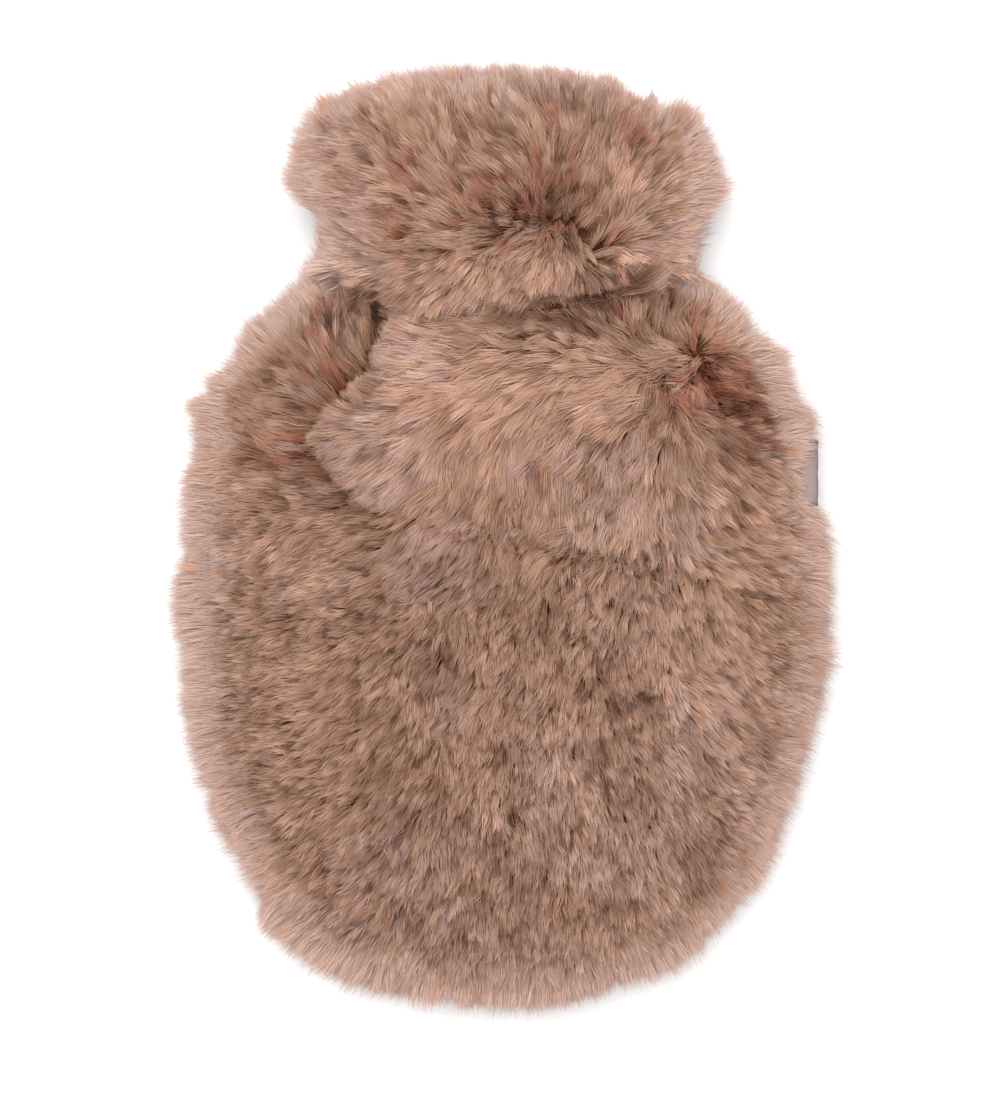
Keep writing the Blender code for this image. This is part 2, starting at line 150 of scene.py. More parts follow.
BODY_COMB = rows(Comb, [
    (280, 320, 128), (270, 340, 138), (280, 370, 155), (240, 360, 152), (240, 385, 163),
    (220, 400, 175), (260, 402, 172), (330, 402, 168), (280, 408, 180), (235, 440, 168),
    (205, 430, 170), (230, 470, 178), (260, 490, 181), (220, 505, 186), (300, 492, 178),
    (325, 482, 168), (260, 520, 200), (220, 530, 196), (300, 522, 207), (300, 540, 228),
    (280, 548, 236), (340, 520, 214), (360, 532, 224), (435, 372, 210), (440, 350, 196),
    (460, 340, 192), (480, 330, 187), (490, 350, 200), (470, 372, 215), (450, 395, 222),
    (480, 392, 223), (380, 410, 200), (350, 415, 192), (330, 425, 200), (340, 440, 205),
    (360, 455, 208), (380, 440, 215), (400, 420, 220), (420, 432, 230), (400, 460, 222),
    (370, 472, 215), (385, 490, 218), (420, 480, 235), (440, 460, 240), (440, 420, 236),
    (460, 440, 245), (480, 430, 243), (460, 480, 246), (420, 510, 238), (440, 525, 236),
    (480, 500, 250), (395, 530, 227), (370, 518, 222), (500, 330, 190), (540, 340, 188),
    (575, 328, 150), (560, 360, 207), (520, 360, 210), (540, 380, 222), (510, 392, 230),
    (580, 350, 184), (620, 350, 172), (615, 365, 195), (600, 382, 215), (580, 382, 226),
    (620, 400, 228), (600, 412, 236), (560, 402, 242), (530, 420, 250), (500, 420, 246),
    (570, 432, 246), (520, 450, 262), (560, 460, 238), (600, 440, 232), (782, 480, 336),
    (740, 472, 303), (720, 472, 290), (750, 500, 315), (728, 502, 292), (772, 502, 322),
    (792, 502, 332), (800, 450, 350), (800, 420, 355), (680, 310, 97), (620, 312, 118),
    (610, 332, 142), (660, 300, 102), (730, 310, 45), (680, 500, 275), (720, 522, 296),
    (750, 535, 322), (782, 532, 330), (802, 542, 340), (640, 482, 256), (620, 502, 250),
    (580, 502, 248), (600, 462, 250), (540, 482, 264), (520, 502, 269), (560, 542, 232),
    (600, 542, 246), (640, 542, 260), (820, 560, 352), (220, 600, 178), (190, 560, 178),
    (190, 640, 180), (260, 600, 185), (220, 680, 185), (300, 600, 190), (260, 660, 192),
    (300, 660, 197), (340, 620, 203), (340, 680, 212), (380, 620, 218), (372, 680, 228),
    (400, 660, 240), (190, 720, 186), (300, 720, 193), (260, 740, 188), (340, 740, 215),
    (380, 740, 235), (402, 720, 241), (402, 780, 246), (300, 780, 203), (260, 800, 192),
    (210, 800, 192), (340, 800, 215), (360, 840, 226), (300, 840, 210), (240, 850, 203),
    (320, 880, 213), (300, 905, 216), (265, 920, 222), (360, 922, 228), (400, 840, 254),
    (400, 900, 238), (440, 860, 262), (440, 940, 252), (330, 965, 240), (400, 990, 255),
    (460, 700, 256), (440, 640, 254), (480, 620, 250), (440, 580, 243), (500, 560, 248),
    (480, 760, 262), (500, 800, 268), (500, 900, 264), (480, 985, 266), (520, 600, 248),
    (560, 620, 248), (600, 600, 249), (640, 600, 262), (560, 680, 253), (600, 680, 262),
    (640, 700, 275), (680, 600, 275), (702, 600, 283), (722, 560, 300), (722, 620, 291),
    (742, 642, 301), (762, 600, 313), (782, 580, 323), (802, 600, 331), (802, 650, 350),
    (780, 665, 316), (782, 702, 327), (802, 742, 341), (762, 702, 318), (742, 702, 303),
    (742, 762, 312), (762, 802, 325), (785, 782, 345), (722, 802, 307), (722, 742, 303),
    (702, 782, 298), (682, 742, 290), (682, 822, 292), (722, 862, 307), (762, 842, 318),
    (762, 882, 322), (702, 902, 300), (662, 862, 286), (662, 942, 292), (642, 802, 276),
    (602, 802, 270), (562, 762, 265), (602, 902, 275), (562, 902, 270), (522, 962, 268),
    (602, 985, 276), (682, 962, 300), (742, 905, 311), (790, 850, 330), (825, 700, 356),
    (830, 620, 0), (650, 320, 108), (665, 312, 104), (685, 320, 94), (705, 325, 62), (722, 337, 44),
    (735, 330, 38), (745, 345, 24), (645, 340, 164), (650, 356, 188), (732, 362, 344),
    (750, 358, 352), (770, 355, 5), (788, 362, 8), (720, 372, 330), (735, 380, 334),
    (752, 384, 336), (770, 388, 342), (788, 392, 352), (708, 382, 268), (724, 398, 310),
    (742, 404, 328), (765, 404, 334), (785, 412, 344), (682, 384, 250), (668, 380, 232),
    (695, 400, 266), (680, 404, 256), (662, 402, 244), (645, 398, 238), (715, 414, 290),
    (700, 424, 276), (722, 432, 296), (745, 432, 316), (765, 436, 326), (785, 440, 334),
    (790, 465, 334), (760, 462, 322), (740, 462, 306), (722, 462, 294), (702, 450, 274),
    (680, 444, 260), (655, 440, 250), (642, 425, 244), (600, 315, 115), (620, 305, 105),
    (640, 305, 98), (655, 300, 95), (670, 300, 92), (575, 308, 130), (560, 325, 165),
    (580, 336, 168), (600, 340, 165), (620, 342, 160), (345, 330, 100), (355, 350, 100),
    (362, 370, 108), (340, 350, 106), (330, 330, 108), (318, 350, 110), (330, 370, 118),
    (345, 385, 130), (355, 392, 150), (308, 330, 110), (300, 310, 112), (300, 350, 122),
    (300, 385, 145), (320, 395, 160), (362, 330, 96), (364, 350, 98), (320, 310, 108),
    (345, 310, 100), (385, 320, 150), (400, 330, 165), (385, 340, 160), (410, 345, 172),
    (380, 355, 170), (400, 365, 178), (380, 372, 178), (396, 386, 195), (376, 388, 192),
    (410, 325, 172), (702, 338, 68), (698, 343, 105), (704, 345, 80), (712, 349, 20),
    (710, 356, 346), (690, 357, 186), (675, 356, 186), (672, 366, 208), (690, 368, 222),
    (700, 366, 240), (702, 376, 258), (712, 366, 330), (655, 360, 192), (660, 372, 222),
    (682, 376, 244), (658, 332, 118), (670, 338, 132), (682, 342, 124), (664, 346, 160),
    (676, 350, 172), (690, 335, 100),
])
COLLAR_COMB = rows(Comb, [
    (310, 110, 125), (320, 150, 165), (300, 180, 180), (285, 200, 188), (350, 130, 166),
    (380, 110, 140), (430, 90, 112), (500, 90, 112), (350, 85, 128), (360, 165, 145),
    (340, 200, 155), (360, 225, 138), (340, 245, 155), (340, 275, 186), (380, 215, 168),
    (430, 220, 172), (470, 200, 133), (400, 255, 175), (440, 255, 178), (480, 230, 172),
    (380, 290, 203), (400, 275, 198), (440, 280, 215), (440, 300, 218), (480, 290, 228),
    (500, 265, 238), (480, 315, 205), (510, 300, 228), (520, 260, 245), (545, 265, 250),
    (575, 270, 247), (600, 285, 265), (620, 120, 75), (650, 112, 65), (690, 120, 50),
    (620, 170, 82), (645, 180, 62), (665, 200, 45), (685, 165, 38), (702, 145, 30), (715, 190, 18),
    (665, 225, 28), (692, 230, 10), (700, 255, 355), (500, 200, 140), (520, 200, 134),
    (535, 203, 122), (510, 214, 158), (530, 214, 138), (550, 196, 96), (545, 212, 118),
    (500, 228, 195), (515, 232, 222), (530, 228, 234), (545, 226, 246), (560, 224, 255),
    (560, 240, 255), (575, 226, 268), (572, 212, 82), (565, 205, 86), (585, 215, 78),
    (600, 228, 84), (592, 236, 285), (604, 240, 82), (612, 246, 78), (618, 230, 80), (600, 200, 74),
    (615, 212, 84), (630, 205, 64), (600, 256, 285), (580, 246, 270), (590, 262, 274),
    (635, 228, 56), (625, 245, 60), (640, 243, 20), (650, 246, 356), (665, 250, 350),
    (622, 254, 318), (632, 256, 328), (642, 266, 318), (650, 275, 322), (660, 284, 320),
    (655, 256, 338), (664, 266, 328), (676, 262, 345), (612, 274, 300), (604, 284, 268),
    (620, 286, 318), (636, 284, 335), (628, 272, 325), (675, 274, 335), (410, 150, 120),
    (395, 165, 132), (410, 115, 112), (420, 166, 142), (431, 130, 98), (441, 152, 108),
    (464, 140, 97), (463, 114, 118), (480, 121, 146), (500, 128, 150), (520, 132, 140),
    (455, 184, 128), (470, 165, 122), (490, 175, 132), (520, 165, 131), (500, 150, 132),
    (540, 150, 112), (545, 175, 98), (559, 140, 106), (560, 165, 86), (583, 139, 92),
    (580, 170, 66), (550, 191, 96), (510, 110, 122), (540, 105, 115), (575, 115, 95),
    (598, 160, 78), (590, 185, 66), (322, 268, 184), (350, 290, 192), (640, 276, 332),
])
PARTINGS = groups(Parting, [
    (0.3, [(552, 436, 574, 436, 5)]),
    (0.35, [
        (642, 217, 650, 212, 2.5), (658, 212, 668, 204, 2.5), (650, 232, 664, 224, 2.5),
        (679, 324, 684, 336, 2.5),
    ]),
    (0.4, [
        (600, 130, 608, 140, 4), (300, 497, 336, 498, 3), (570, 448, 632, 448, 4),
        (690, 462, 694, 466, 4), (782, 522, 806, 542, 3), (358, 616, 368, 618, 4),
        (302, 610, 306, 614, 4), (320, 620, 324, 624, 4), (330, 888, 334, 886, 4),
        (606, 664, 612, 670, 5), (583, 722, 586, 734, 5), (606, 912, 638, 914, 4),
        (568, 958, 580, 964, 4), (670, 840, 672, 846, 4), (663, 407, 667, 409, 4),
        (752, 400, 764, 402, 2.5), (684, 430, 686, 438, 2.5), (620, 206, 621, 212, 2.5),
        (671, 279, 682, 277, 3), (630, 228, 632, 234, 3), (682, 348, 684, 350, 3),
    ]),
    (0.45, [
        (752, 378, 768, 380, 2.5), (468, 116, 486, 126, 3), (430, 145, 429, 155, 2),
        (584, 189, 592, 190, 2),
    ]),
    (0.5, [
        (318, 178, 322, 184, 3), (340, 318, 342, 326, 3), (273, 358, 278, 362, 4),
        (263, 464, 272, 468, 4), (508, 318, 534, 310, 3), (586, 316, 590, 330, 5),
        (518, 296, 526, 306, 5), (638, 408, 640, 412, 4), (676, 520, 677, 532, 3),
        (754, 462, 764, 476, 5), (812, 498, 818, 500, 3), (390, 656, 396, 660, 5),
        (402, 730, 400, 736, 4), (352, 682, 356, 686, 4), (384, 828, 396, 822, 4),
        (504, 680, 508, 682, 4), (510, 772, 512, 782, 4), (710, 612, 712, 618, 4),
        (614, 586, 624, 580, 5), (594, 760, 598, 770, 5), (776, 658, 784, 666, 4),
        (502, 940, 520, 944, 5), (752, 388, 768, 392, 2.5), (727, 431, 729, 434, 4),
        (695, 356, 700, 360, 3), (778, 428, 790, 431, 2.5), (764, 440, 790, 443, 2.5),
        (668, 386, 664, 392, 3), (656, 400, 652, 406, 3), (443, 158, 455, 168, 2),
        (482, 150, 488, 158, 2), (552, 155, 560, 158, 3), (738, 384, 752, 388, 3),
    ]),
    (0.55, [
        (431, 125, 432, 135, 2.5), (416, 162, 428, 170, 2), (594, 185, 596, 192, 2),
        (524, 236, 520, 246, 2), (508, 238, 500, 248, 2), (682, 341, 684, 345, 3),
    ]),
    (0.6, [
        (651, 146, 656, 150, 4), (660, 164, 668, 166, 4), (367, 350, 372, 372, 4),
        (326, 312, 328, 330, 4), (352, 320, 352, 332, 3), (318, 272, 330, 284, 4),
        (334, 290, 372, 297, 4), (356, 508, 364, 512, 4), (678, 496, 678, 512, 4),
        (738, 522, 752, 530, 4), (748, 532, 760, 540, 4), (381, 858, 384, 862, 4),
        (486, 706, 488, 712, 4), (490, 746, 490, 754, 4), (644, 556, 646, 562, 4),
        (612, 704, 620, 716, 5), (752, 648, 756, 652, 3), (634, 908, 638, 918, 4),
        (748, 428, 760, 433, 3), (661, 442, 662, 447, 3), (672, 414, 677, 411, 3),
        (590, 272, 595, 268, 2), (640, 209, 650, 198, 2.5), (671, 286, 672, 304, 3),
        (492, 121, 510, 131, 3), (498, 132, 505, 132, 4), (458, 122, 460, 128, 2.5),
        (582, 130, 583, 148, 2), (500, 186, 506, 192, 2), (576, 244, 578, 248, 2),
        (739, 371, 742, 372, 3), (716, 403, 712, 412, 3),
    ]),
    (0.65, [
        (516, 160, 525, 170, 2), (536, 152, 540, 160, 3), (538, 165, 542, 180, 2.5),
        (520, 180, 528, 186, 2), (482, 208, 488, 213, 2.5), (485, 222, 490, 226, 3),
        (566, 222, 572, 228, 2.5), (563, 232, 565, 236, 2.5), (566, 247, 568, 252, 2),
        (534, 232, 528, 242, 2), (402, 206, 406, 208, 2.5), (402, 226, 406, 228, 2.5),
        (396, 236, 400, 240, 2.5), (418, 201, 421, 204, 2.5), (418, 250, 428, 252, 2),
    ]),
    (0.7, [
        (358, 306, 350, 300, 4), (320, 472, 336, 486, 5), (566, 322, 592, 332, 5),
        (706, 542, 712, 540, 5), (396, 716, 394, 724, 4), (370, 764, 371, 772, 4),
        (402, 812, 400, 822, 5), (460, 936, 464, 940, 5), (504, 756, 504, 768, 5),
        (510, 802, 511, 820, 4), (657, 552, 658, 560, 4), (600, 748, 604, 756, 6),
        (770, 419, 774, 421, 3), (592, 222, 597, 228, 2), (396, 218, 400, 222, 2.5),
        (721, 374, 728, 382, 3),
    ]),
    (0.75, [
        (408, 152, 414, 161, 3.5), (530, 160, 540, 162, 3), (556, 128, 562, 150, 2.5),
        (484, 198, 490, 205, 2.5), (497, 214, 507, 217, 3), (403, 215, 406, 218, 2.5),
        (431, 250, 438, 251, 3),
    ]),
    (0.8, [
        (306, 448, 318, 468, 5), (252, 450, 257, 451, 4), (278, 502, 280, 508, 5),
        (372, 547, 373, 553, 5), (545, 320, 566, 316, 5), (641, 424, 645, 430, 5),
        (722, 540, 732, 534, 5), (378, 602, 380, 606, 4), (702, 586, 702, 594, 4),
        (709, 354, 722, 359, 3), (732, 362, 735, 368, 4), (746, 399, 748, 402, 4),
        (753, 408, 760, 406, 4), (744, 413, 754, 414, 3), (463, 110, 468, 118, 3),
        (488, 129, 496, 135, 3), (464, 133, 466, 142, 2.5), (466, 142, 463, 148, 2.5),
        (547, 190, 549, 200, 2.5), (476, 226, 495, 230, 2),
    ]),
    (0.85, [
        (439, 145, 443, 158, 2.5), (504, 222, 509, 226, 2.5), (528, 220, 536, 224, 3),
        (574, 226, 580, 230, 2.5), (586, 244, 588, 250, 2.5),
    ]),
    (0.9, [
        (371, 332, 368, 342, 4), (338, 496, 345, 498, 5), (286, 407, 298, 408, 4),
        (536, 309, 550, 304, 4), (643, 700, 652, 703, 5), (504, 127, 510, 131, 2.5),
        (452, 179, 458, 188, 2.5), (514, 190, 520, 202, 3.5), (396, 196, 400, 202, 3),
        (390, 250, 396, 252, 3), (704, 371, 705, 378, 4.5),
    ]),
    (0.95, [
        (550, 182, 552, 200, 3), (518, 200, 522, 206, 3), (507, 203, 514, 208, 3),
        (529, 194, 531, 202, 3), (488, 243, 474, 251, 2.5), (556, 206, 562, 216, 3),
    ]),
    (1, [
        (371, 309, 378, 318, 5), (377, 316, 372, 328, 5), (702, 420, 702, 428, 3),
        (497, 233, 488, 243, 3.5), (537, 219, 546, 224, 3.5), (546, 218, 556, 212, 4),
        (573, 207, 581, 209, 3), (583, 236, 590, 236, 3.5), (595, 243, 600, 252, 4),
        (439, 252, 447, 255, 3.5), (708, 368, 711, 380, 6.5), (709, 384, 713, 394, 6),
        (722, 394, 727, 401, 6), (728, 398, 732, 410, 6), (737, 403, 741, 415, 6),
        (602, 257, 607, 266, 3.5),
    ]),
])
PATCHES = groups(Patch, [
    (PALE, [
        (200, 660, 24, 170, 0.75), (480, 84, 170, 18, 0.7), (300, 150, 18, 60, 0.5),
        (700, 190, 24, 70, 0.5),
    ]),
    (RUSSET, [
        (500, 200, 34, 26, 0.7), (538, 150, 14, 16, 0.7), (552, 118, 10, 12, 0.6),
        (570, 172, 14, 16, 0.7), (586, 198, 12, 8, 0.8), (616, 236, 12, 24, 0.8),
        (634, 138, 12, 12, 0.7), (392, 222, 10, 34, 0.75), (396, 168, 10, 12, 0.6),
        (410, 155, 8, 10, 0.8), (314, 270, 12, 8, 0.8), (326, 335, 16, 36, 0.7),
        (312, 378, 10, 10, 0.7), (275, 448, 22, 18, 0.7), (265, 566, 10, 8, 0.7),
        (692, 388, 22, 22, 0.8), (758, 430, 34, 24, 0.8), (735, 385, 46, 38, 0.8),
        (700, 328, 14, 20, 0.6), (618, 302, 14, 14, 0.5),
    ]),
    (MAUVE, [
        (372, 455, 60, 46, 0.9), (405, 350, 34, 34, 0.85), (433, 570, 48, 36, 0.8),
        (610, 490, 62, 46, 0.75), (680, 530, 30, 40, 0.7), (520, 465, 18, 30, 0.5),
        (400, 870, 52, 46, 0.7), (470, 860, 40, 40, 0.6), (545, 790, 36, 60, 0.7),
        (700, 770, 60, 80, 0.8), (640, 850, 60, 60, 0.7), (540, 860, 50, 40, 0.6),
        (540, 960, 110, 26, 0.7), (450, 930, 70, 30, 0.7), (640, 600, 40, 44, 0.5),
        (345, 240, 34, 46, 0.85), (330, 140, 30, 40, 0.6), (600, 95, 60, 14, 0.7),
        (670, 240, 40, 20, 0.5), (330, 320, 40, 20, 0.3), (440, 310, 40, 12, 0.5),
        (440, 700, 26, 30, 0.5), (310, 590, 40, 14, 0.3),
    ]),
    (PALE, [
        (225, 830, 30, 60, 0.7), (300, 940, 50, 26, 0.7), (330, 110, 26, 30, 0.5),
        (380, 85, 60, 14, 0.5), (680, 110, 30, 20, 0.5), (250, 320, 40, 26, 0.5),
        (205, 420, 14, 60, 0.5),
    ]),
])
SHADES = rows(Shade, [
    (628, 262, 16, 12, 0.16), (338, 284, 34, 18, 0.26), (740, 650, 70, 120, 0.05),
    (668, 342, 18, 10, 0.12), (812, 650, 24, 110, -0.14), (500, 992, 160, 14, -0.10),
    (400, 84, 120, 16, 0.06), (738, 392, 46, 40, 0.14), (390, 430, 70, 80, 0.05),
    (610, 490, 100, 55, 0.06), (400, 345, 30, 30, 0.2), (520, 380, 110, 50, 0.2),
    (340, 240, 40, 50, 0.06), (655, 160, 40, 50, 0.06), (510, 290, 60, 30, 0.14),
    (510, 180, 170, 90, 0.08), (640, 225, 50, 50, 0.08), (690, 350, 50, 30, 0.08),
    (640, 266, 40, 16, 0.20), (345, 325, 26, 36, -0.10), (290, 700, 80, 140, 0.08),
    (390, 700, 50, 120, -0.08), (540, 710, 90, 80, 0.05), (700, 560, 80, 60, 0.08),
    (730, 680, 60, 120, 0.08), (560, 320, 40, 14, -0.14), (300, 480, 40, 20, -0.1),
])
LIES = rows(Lie, [
    (630, 264, 20, 14, 0.08, 0.14, 0.0), (668, 346, 24, 12, 0.10, 0.12, 0.0),
    (350, 350, 26, 50, 0.10, -0.18, 0.1), (410, 410, 100, 100, 0.30, 0.24, 0.0),
    (570, 390, 120, 70, 0.26, 0.20, 0.0), (600, 480, 130, 60, 0.12, 0.12, 0.0),
    (745, 440, 70, 90, 0.12, 0.10, 0.0), (270, 420, 80, 110, 0.16, 0.14, 0.0),
    (745, 620, 60, 90, 0.08, 0.08, 0.0), (704, 356, 14, 9, -0.02, -0.12, 0.12),
    (735, 388, 44, 38, -0.12, -0.06, 0.14), (545, 214, 46, 14, -0.08, -0.28, 0.3),
])
TRIMS = rows(Trim, [
    (652, 92, 9, -0.3), (525, 78, 50, 0.22), (700, 112, 16, 0.25), (816, 478, 26, -0.10),
    (205, 790, 30, 0.1), (320, 965, 30, 0.1),
])
YOKE_EDGE = [
    (372, 345), (367, 371), (340, 392), (322, 406), (303, 439), (313, 460), (336, 486), (358, 505),
    (376, 509),
]
COLLAR_HEM = [
    (715, 240), (700, 264), (668, 279), (645, 284), (590, 294), (545, 305), (505, 317), (470, 322),
    (420, 316), (375, 307), (345, 302), (322, 292), (310, 275), (300, 250),
]
OUTLINE = [
    (500, 60), (550, 61), (600, 68), (617, 74), (630, 87), (650, 99), (670, 102), (690, 99),
    (703, 107), (710, 130), (722, 155), (730, 180), (727, 195), (714, 212), (708, 240), (694, 262),
    (690, 270), (706, 278), (730, 290), (745, 307), (757, 327), (775, 341), (786, 350), (791, 375),
    (797, 395), (810, 412), (817, 428), (815, 450), (812, 461), (809, 470), (809, 494), (813, 506),
    (822, 517), (829, 545), (831, 580), (829, 600), (829, 635), (833, 657), (823, 690), (815, 725),
    (807, 762), (800, 785), (789, 815), (777, 848), (765, 880), (746, 900), (726, 922), (708, 938),
    (690, 958), (658, 977), (627, 985), (600, 994), (570, 1002), (540, 1009), (500, 1008),
    (470, 1005), (430, 1002), (400, 998), (370, 990), (338, 980), (312, 968), (292, 952),
    (270, 934), (261, 928), (260, 900), (245, 880), (235, 855), (222, 840), (210, 820), (207, 800),
    (197, 780), (192, 755), (187, 735), (184, 705), (182, 670), (180, 645), (174, 632), (173, 600),
    (177, 575), (184, 550), (181, 530), (182, 505), (181, 482), (190, 460), (194, 440), (195, 420),
    (187, 405), (203, 395), (206, 377), (220, 370), (232, 355), (242, 332), (248, 321), (262, 315),
    (273, 302), (287, 290), (300, 275), (307, 263), (315, 260), (318, 245), (315, 227), (314, 214),
    (303, 200), (285, 182), (288, 168), (289, 148), (296, 128), (303, 113), (319, 97), (340, 86),
    (360, 80), (385, 71), (410, 66), (430, 62), (460, 60), (500, 60),
]
# How much painted shadow darkens the pile under the collar's hem, from left to right in pixels.
HEM_SHADE = [
    (300, 0.0), (345, 0.1), (368, 0.7), (385, 0.5), (420, 0.1), (520, 0.2), (560, 0.6), (645, 0.8),
    (665, 0.1),
]
# sRGB of the pile in each tone, in the shade of a lock and on its light side.
TONE_DARK = [(114, 61, 43), (118, 75, 53), (125, 87, 73), (160, 126, 113)]
TONE_LIGHT = [(222, 165, 140), (230, 191, 168), (230, 196, 182), (228, 200, 188)]
# What the light takes of the pile's colour from root to tip.
ROOT_SHADE = [
    (0.0, (0.62, 0.46, 0.37)),
    (0.35, (0.76, 0.65, 0.58)),
    (0.65, (0.92, 0.88, 0.84)),
    (0.88, (1.0, 1.0, 1.0)),
]
GLOSS_TINT = (0.80, 0.52, 0.40, 1.0)
BACKING_COLOUR = (92, 52, 38)
FLOOR_COLOUR = (0.93, 0.93, 0.93, 1.0)
# The tape's colour along its length, and the painted shade of its fold round its girth.
TAPE_COLOUR = (158, 138, 132)
TAPE_EDGE_COLOUR = (120, 98, 108)
TAPE_SELVEDGES = [
    (0.035, TAPE_EDGE_COLOUR),
    (0.06, TAPE_COLOUR),
    (0.94, TAPE_COLOUR),
    (0.965, TAPE_EDGE_COLOUR),
]
TAPE_WHITE = (255, 250, 255)
TAPE_FOLD = [(0.17, 1.0), (0.25, 0.5), (0.33, 1.0), (0.67, 1.0), (0.75, 0.5), (0.83, 1.0)]
# The tape's shape: how far its fold stops short of the solid's, its thickness and its steps.
TAPE_SHORT = 0.0011
TAPE_THICK = 0.0003
TAPE_ROWS = 49
TAPE_BENDS = 9
TAPE_STEPS = 14


def linear(colour):
    """An sRGB colour of 0 to 255 as linear RGBA."""
    shares = [c / 255 for c in colour]
    return [((s + 0.055) / 1.055) ** 2.4 if s > 0.04 else s / 12.92 for s in shares] + [1.0]


def unit(v):
    return v / np.maximum(np.linalg.norm(v, axis=-1, keepdims=True), 1e-9)


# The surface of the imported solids


def welded(name):
    """The corners and triangles of a CAD node, with its corners joined."""
    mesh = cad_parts[name].data
    corners = np.zeros(len(mesh.vertices) * 3)
    mesh.vertices.foreach_get("co", corners)
    mesh.calc_loop_triangles()
    triangles = np.zeros(len(mesh.loop_triangles) * 3, int)
    mesh.loop_triangles.foreach_get("vertices", triangles)
    corners = corners.reshape(-1, 3)
    _, first, back = np.unique(
        np.round(corners, 6), axis=0, return_index=True, return_inverse=True
    )
    triangles = back.ravel()[triangles].reshape(-1, 3)
    real = (triangles != np.roll(triangles, 1, axis=1)).all(1)
    return corners[first], triangles[real]


def face_vectors(corners, triangles):
    a, b, c = (corners[triangles[:, i]] for i in range(3))
    return np.cross(b - a, c - a) / 2


def outward(corners, triangles):
    """Which triangles face away from the line down the middle of the cover."""
    middle = corners[triangles].mean(1)
    nearest = np.zeros_like(middle)
    nearest[:, 1] = np.clip(middle[:, 1], *MIDDLE_ENDS)
    nearest[:, 2] = MIDDLE_Z
    ways = unit(face_vectors(corners, triangles))
    turned_out = (ways * unit(middle - nearest)).sum(1)
    upright = ways[:, 2] * np.sign(middle[:, 2] - MIDDLE_Z) > 0.5
    return (turned_out > 0.1) | (upright & (turned_out > -0.2))


# A node's outer face: corners, their normals, the pile's depth at each, and triangles.
Face = namedtuple("Face", "corners normals depths triangles all_triangles")


def outer_face(name):
    """The outer face of a node. At the seam the panels' faces look straight out to the side."""
    corners, triangles = welded(name)
    chosen = triangles[outward(corners, triangles)]
    vectors = face_vectors(corners, chosen)
    normals = np.zeros_like(corners)
    for i in range(3):
        np.add.at(normals, chosen[:, i], vectors)
    used = np.unique(chosen)
    if name != "collar":
        normals[used[np.abs(corners[used, 2] - SEAM_Z) < AT_SEAM], 2] = 0.0
    normals = unit(normals)
    tree = BVHTree.FromPolygons([Vector(c) for c in corners], triangles.tolist())
    depths = np.zeros(len(corners))
    for i in used:
        inward = Vector(-normals[i])
        hit = tree.ray_cast(Vector(corners[i]) + inward * RAY_START, inward, RAY_REACH)
        wall = hit[3] if hit[3] is not None else WALL_IF_OPEN
        depths[i] = min(PILE_DEPTH, max(LEAST_DEPTH, wall - LEAST_BACKING))
    return Face(corners, normals, depths, chosen, triangles)


def scatter(face, count, rng, keep):
    """Random points on the face where keep says so, denser where the pile parts or is long.

    Gives their places, normals and depths.
    """
    vectors = face_vectors(face.corners, face.triangles)
    middle = face.corners[face.triangles].mean(1)
    spots = pixels(middle)
    extra = EXTRA_AT_PARTINGS * parted(spots)[1], EXTRA_WHERE_LONG * (laid(spots)[0] - 1)
    areas = np.linalg.norm(vectors, axis=1) * keep(middle) * (1 + extra[0] + extra[1])
    picked = rng.choice(len(areas), count, p=areas / areas.sum())
    r1, r2 = np.sqrt(rng.random(count)), rng.random(count)
    shares = np.stack([1 - r1, r1 * (1 - r2), r1 * r2], 1)[:, :, None]
    t = face.triangles[picked]
    return (
        (face.corners[t] * shares).sum(1),
        unit((face.normals[t] * shares).sum(1)),
        (face.depths[t] * shares[:, :, 0]).sum(1),
    )


def spread_out(places, spacing):
    """The indices of places that keep spacing from each other, first come first served."""
    cells, kept = {}, []
    keys = np.floor(places / spacing).astype(int)
    near = [(i, j, k) for i in (-1, 0, 1) for j in (-1, 0, 1) for k in (-1, 0, 1)]
    for n, (a, b, c) in enumerate(keys.tolist()):
        x, y, z = places[n]
        others = (places[m] for i, j, k in near for m in cells.get((a + i, b + j, c + k), ()))
        apart = ((u - x) ** 2 + (v - y) ** 2 + (w - z) ** 2 for u, v, w in others)
        if all(square >= spacing * spacing for square in apart):
            cells.setdefault((a, b, c), []).append(n)
            kept.append(n)
    return np.array(kept)


def waves(places, length, rng, count=10):
    """A smooth random number from about -1 to 1 at each place, that changes over length."""
    total = np.zeros(len(places))
    for _ in range(count):
        way = unit(rng.normal(size=3))
        pace = places @ way * (2 * math.pi / length) * rng.uniform(0.7, 1.4)
        total += np.sin(pace + rng.uniform(0, 2 * math.pi))
    return total / math.sqrt(count) * 1.4


def drift(places, rng, *drifts):
    """The sum of smooth random numbers, each of its own size and length."""
    return sum(size * waves(places, length, rng) for size, length in drifts)


# What the photograph shows at a place


def pixels(places):
    """The photograph's pixels over places in the row frame."""
    grow = CAMERA_HEIGHT / (CAMERA_HEIGHT - (places[:, 2] - SEAM_Z))
    x = FRAME_CENTRE[0] + (places[:, 0] - FRAME_CENTRE[0]) * grow
    y = FRAME_CENTRE[1] + (places[:, 1] - FRAME_CENTRE[1]) * grow
    return np.stack([ORIGIN_X + x / PIXEL, ORIGIN_Y - y / PIXEL], 1)


def combed(spots, combs):
    """The direction across the picture in which the pile lies at each pixel."""
    table = np.array(combs, float)
    ways = np.stack([np.cos(np.radians(table[:, 2])), np.sin(np.radians(table[:, 2]))], 1)
    apart = ((spots[:, None, :] - table[None, :, :2]) ** 2).sum(2)
    weights = 1 / (apart + COMB_REACH**2) ** 2
    return unit((weights[:, :, None] * ways).sum(1) / weights.sum(1)[:, None])


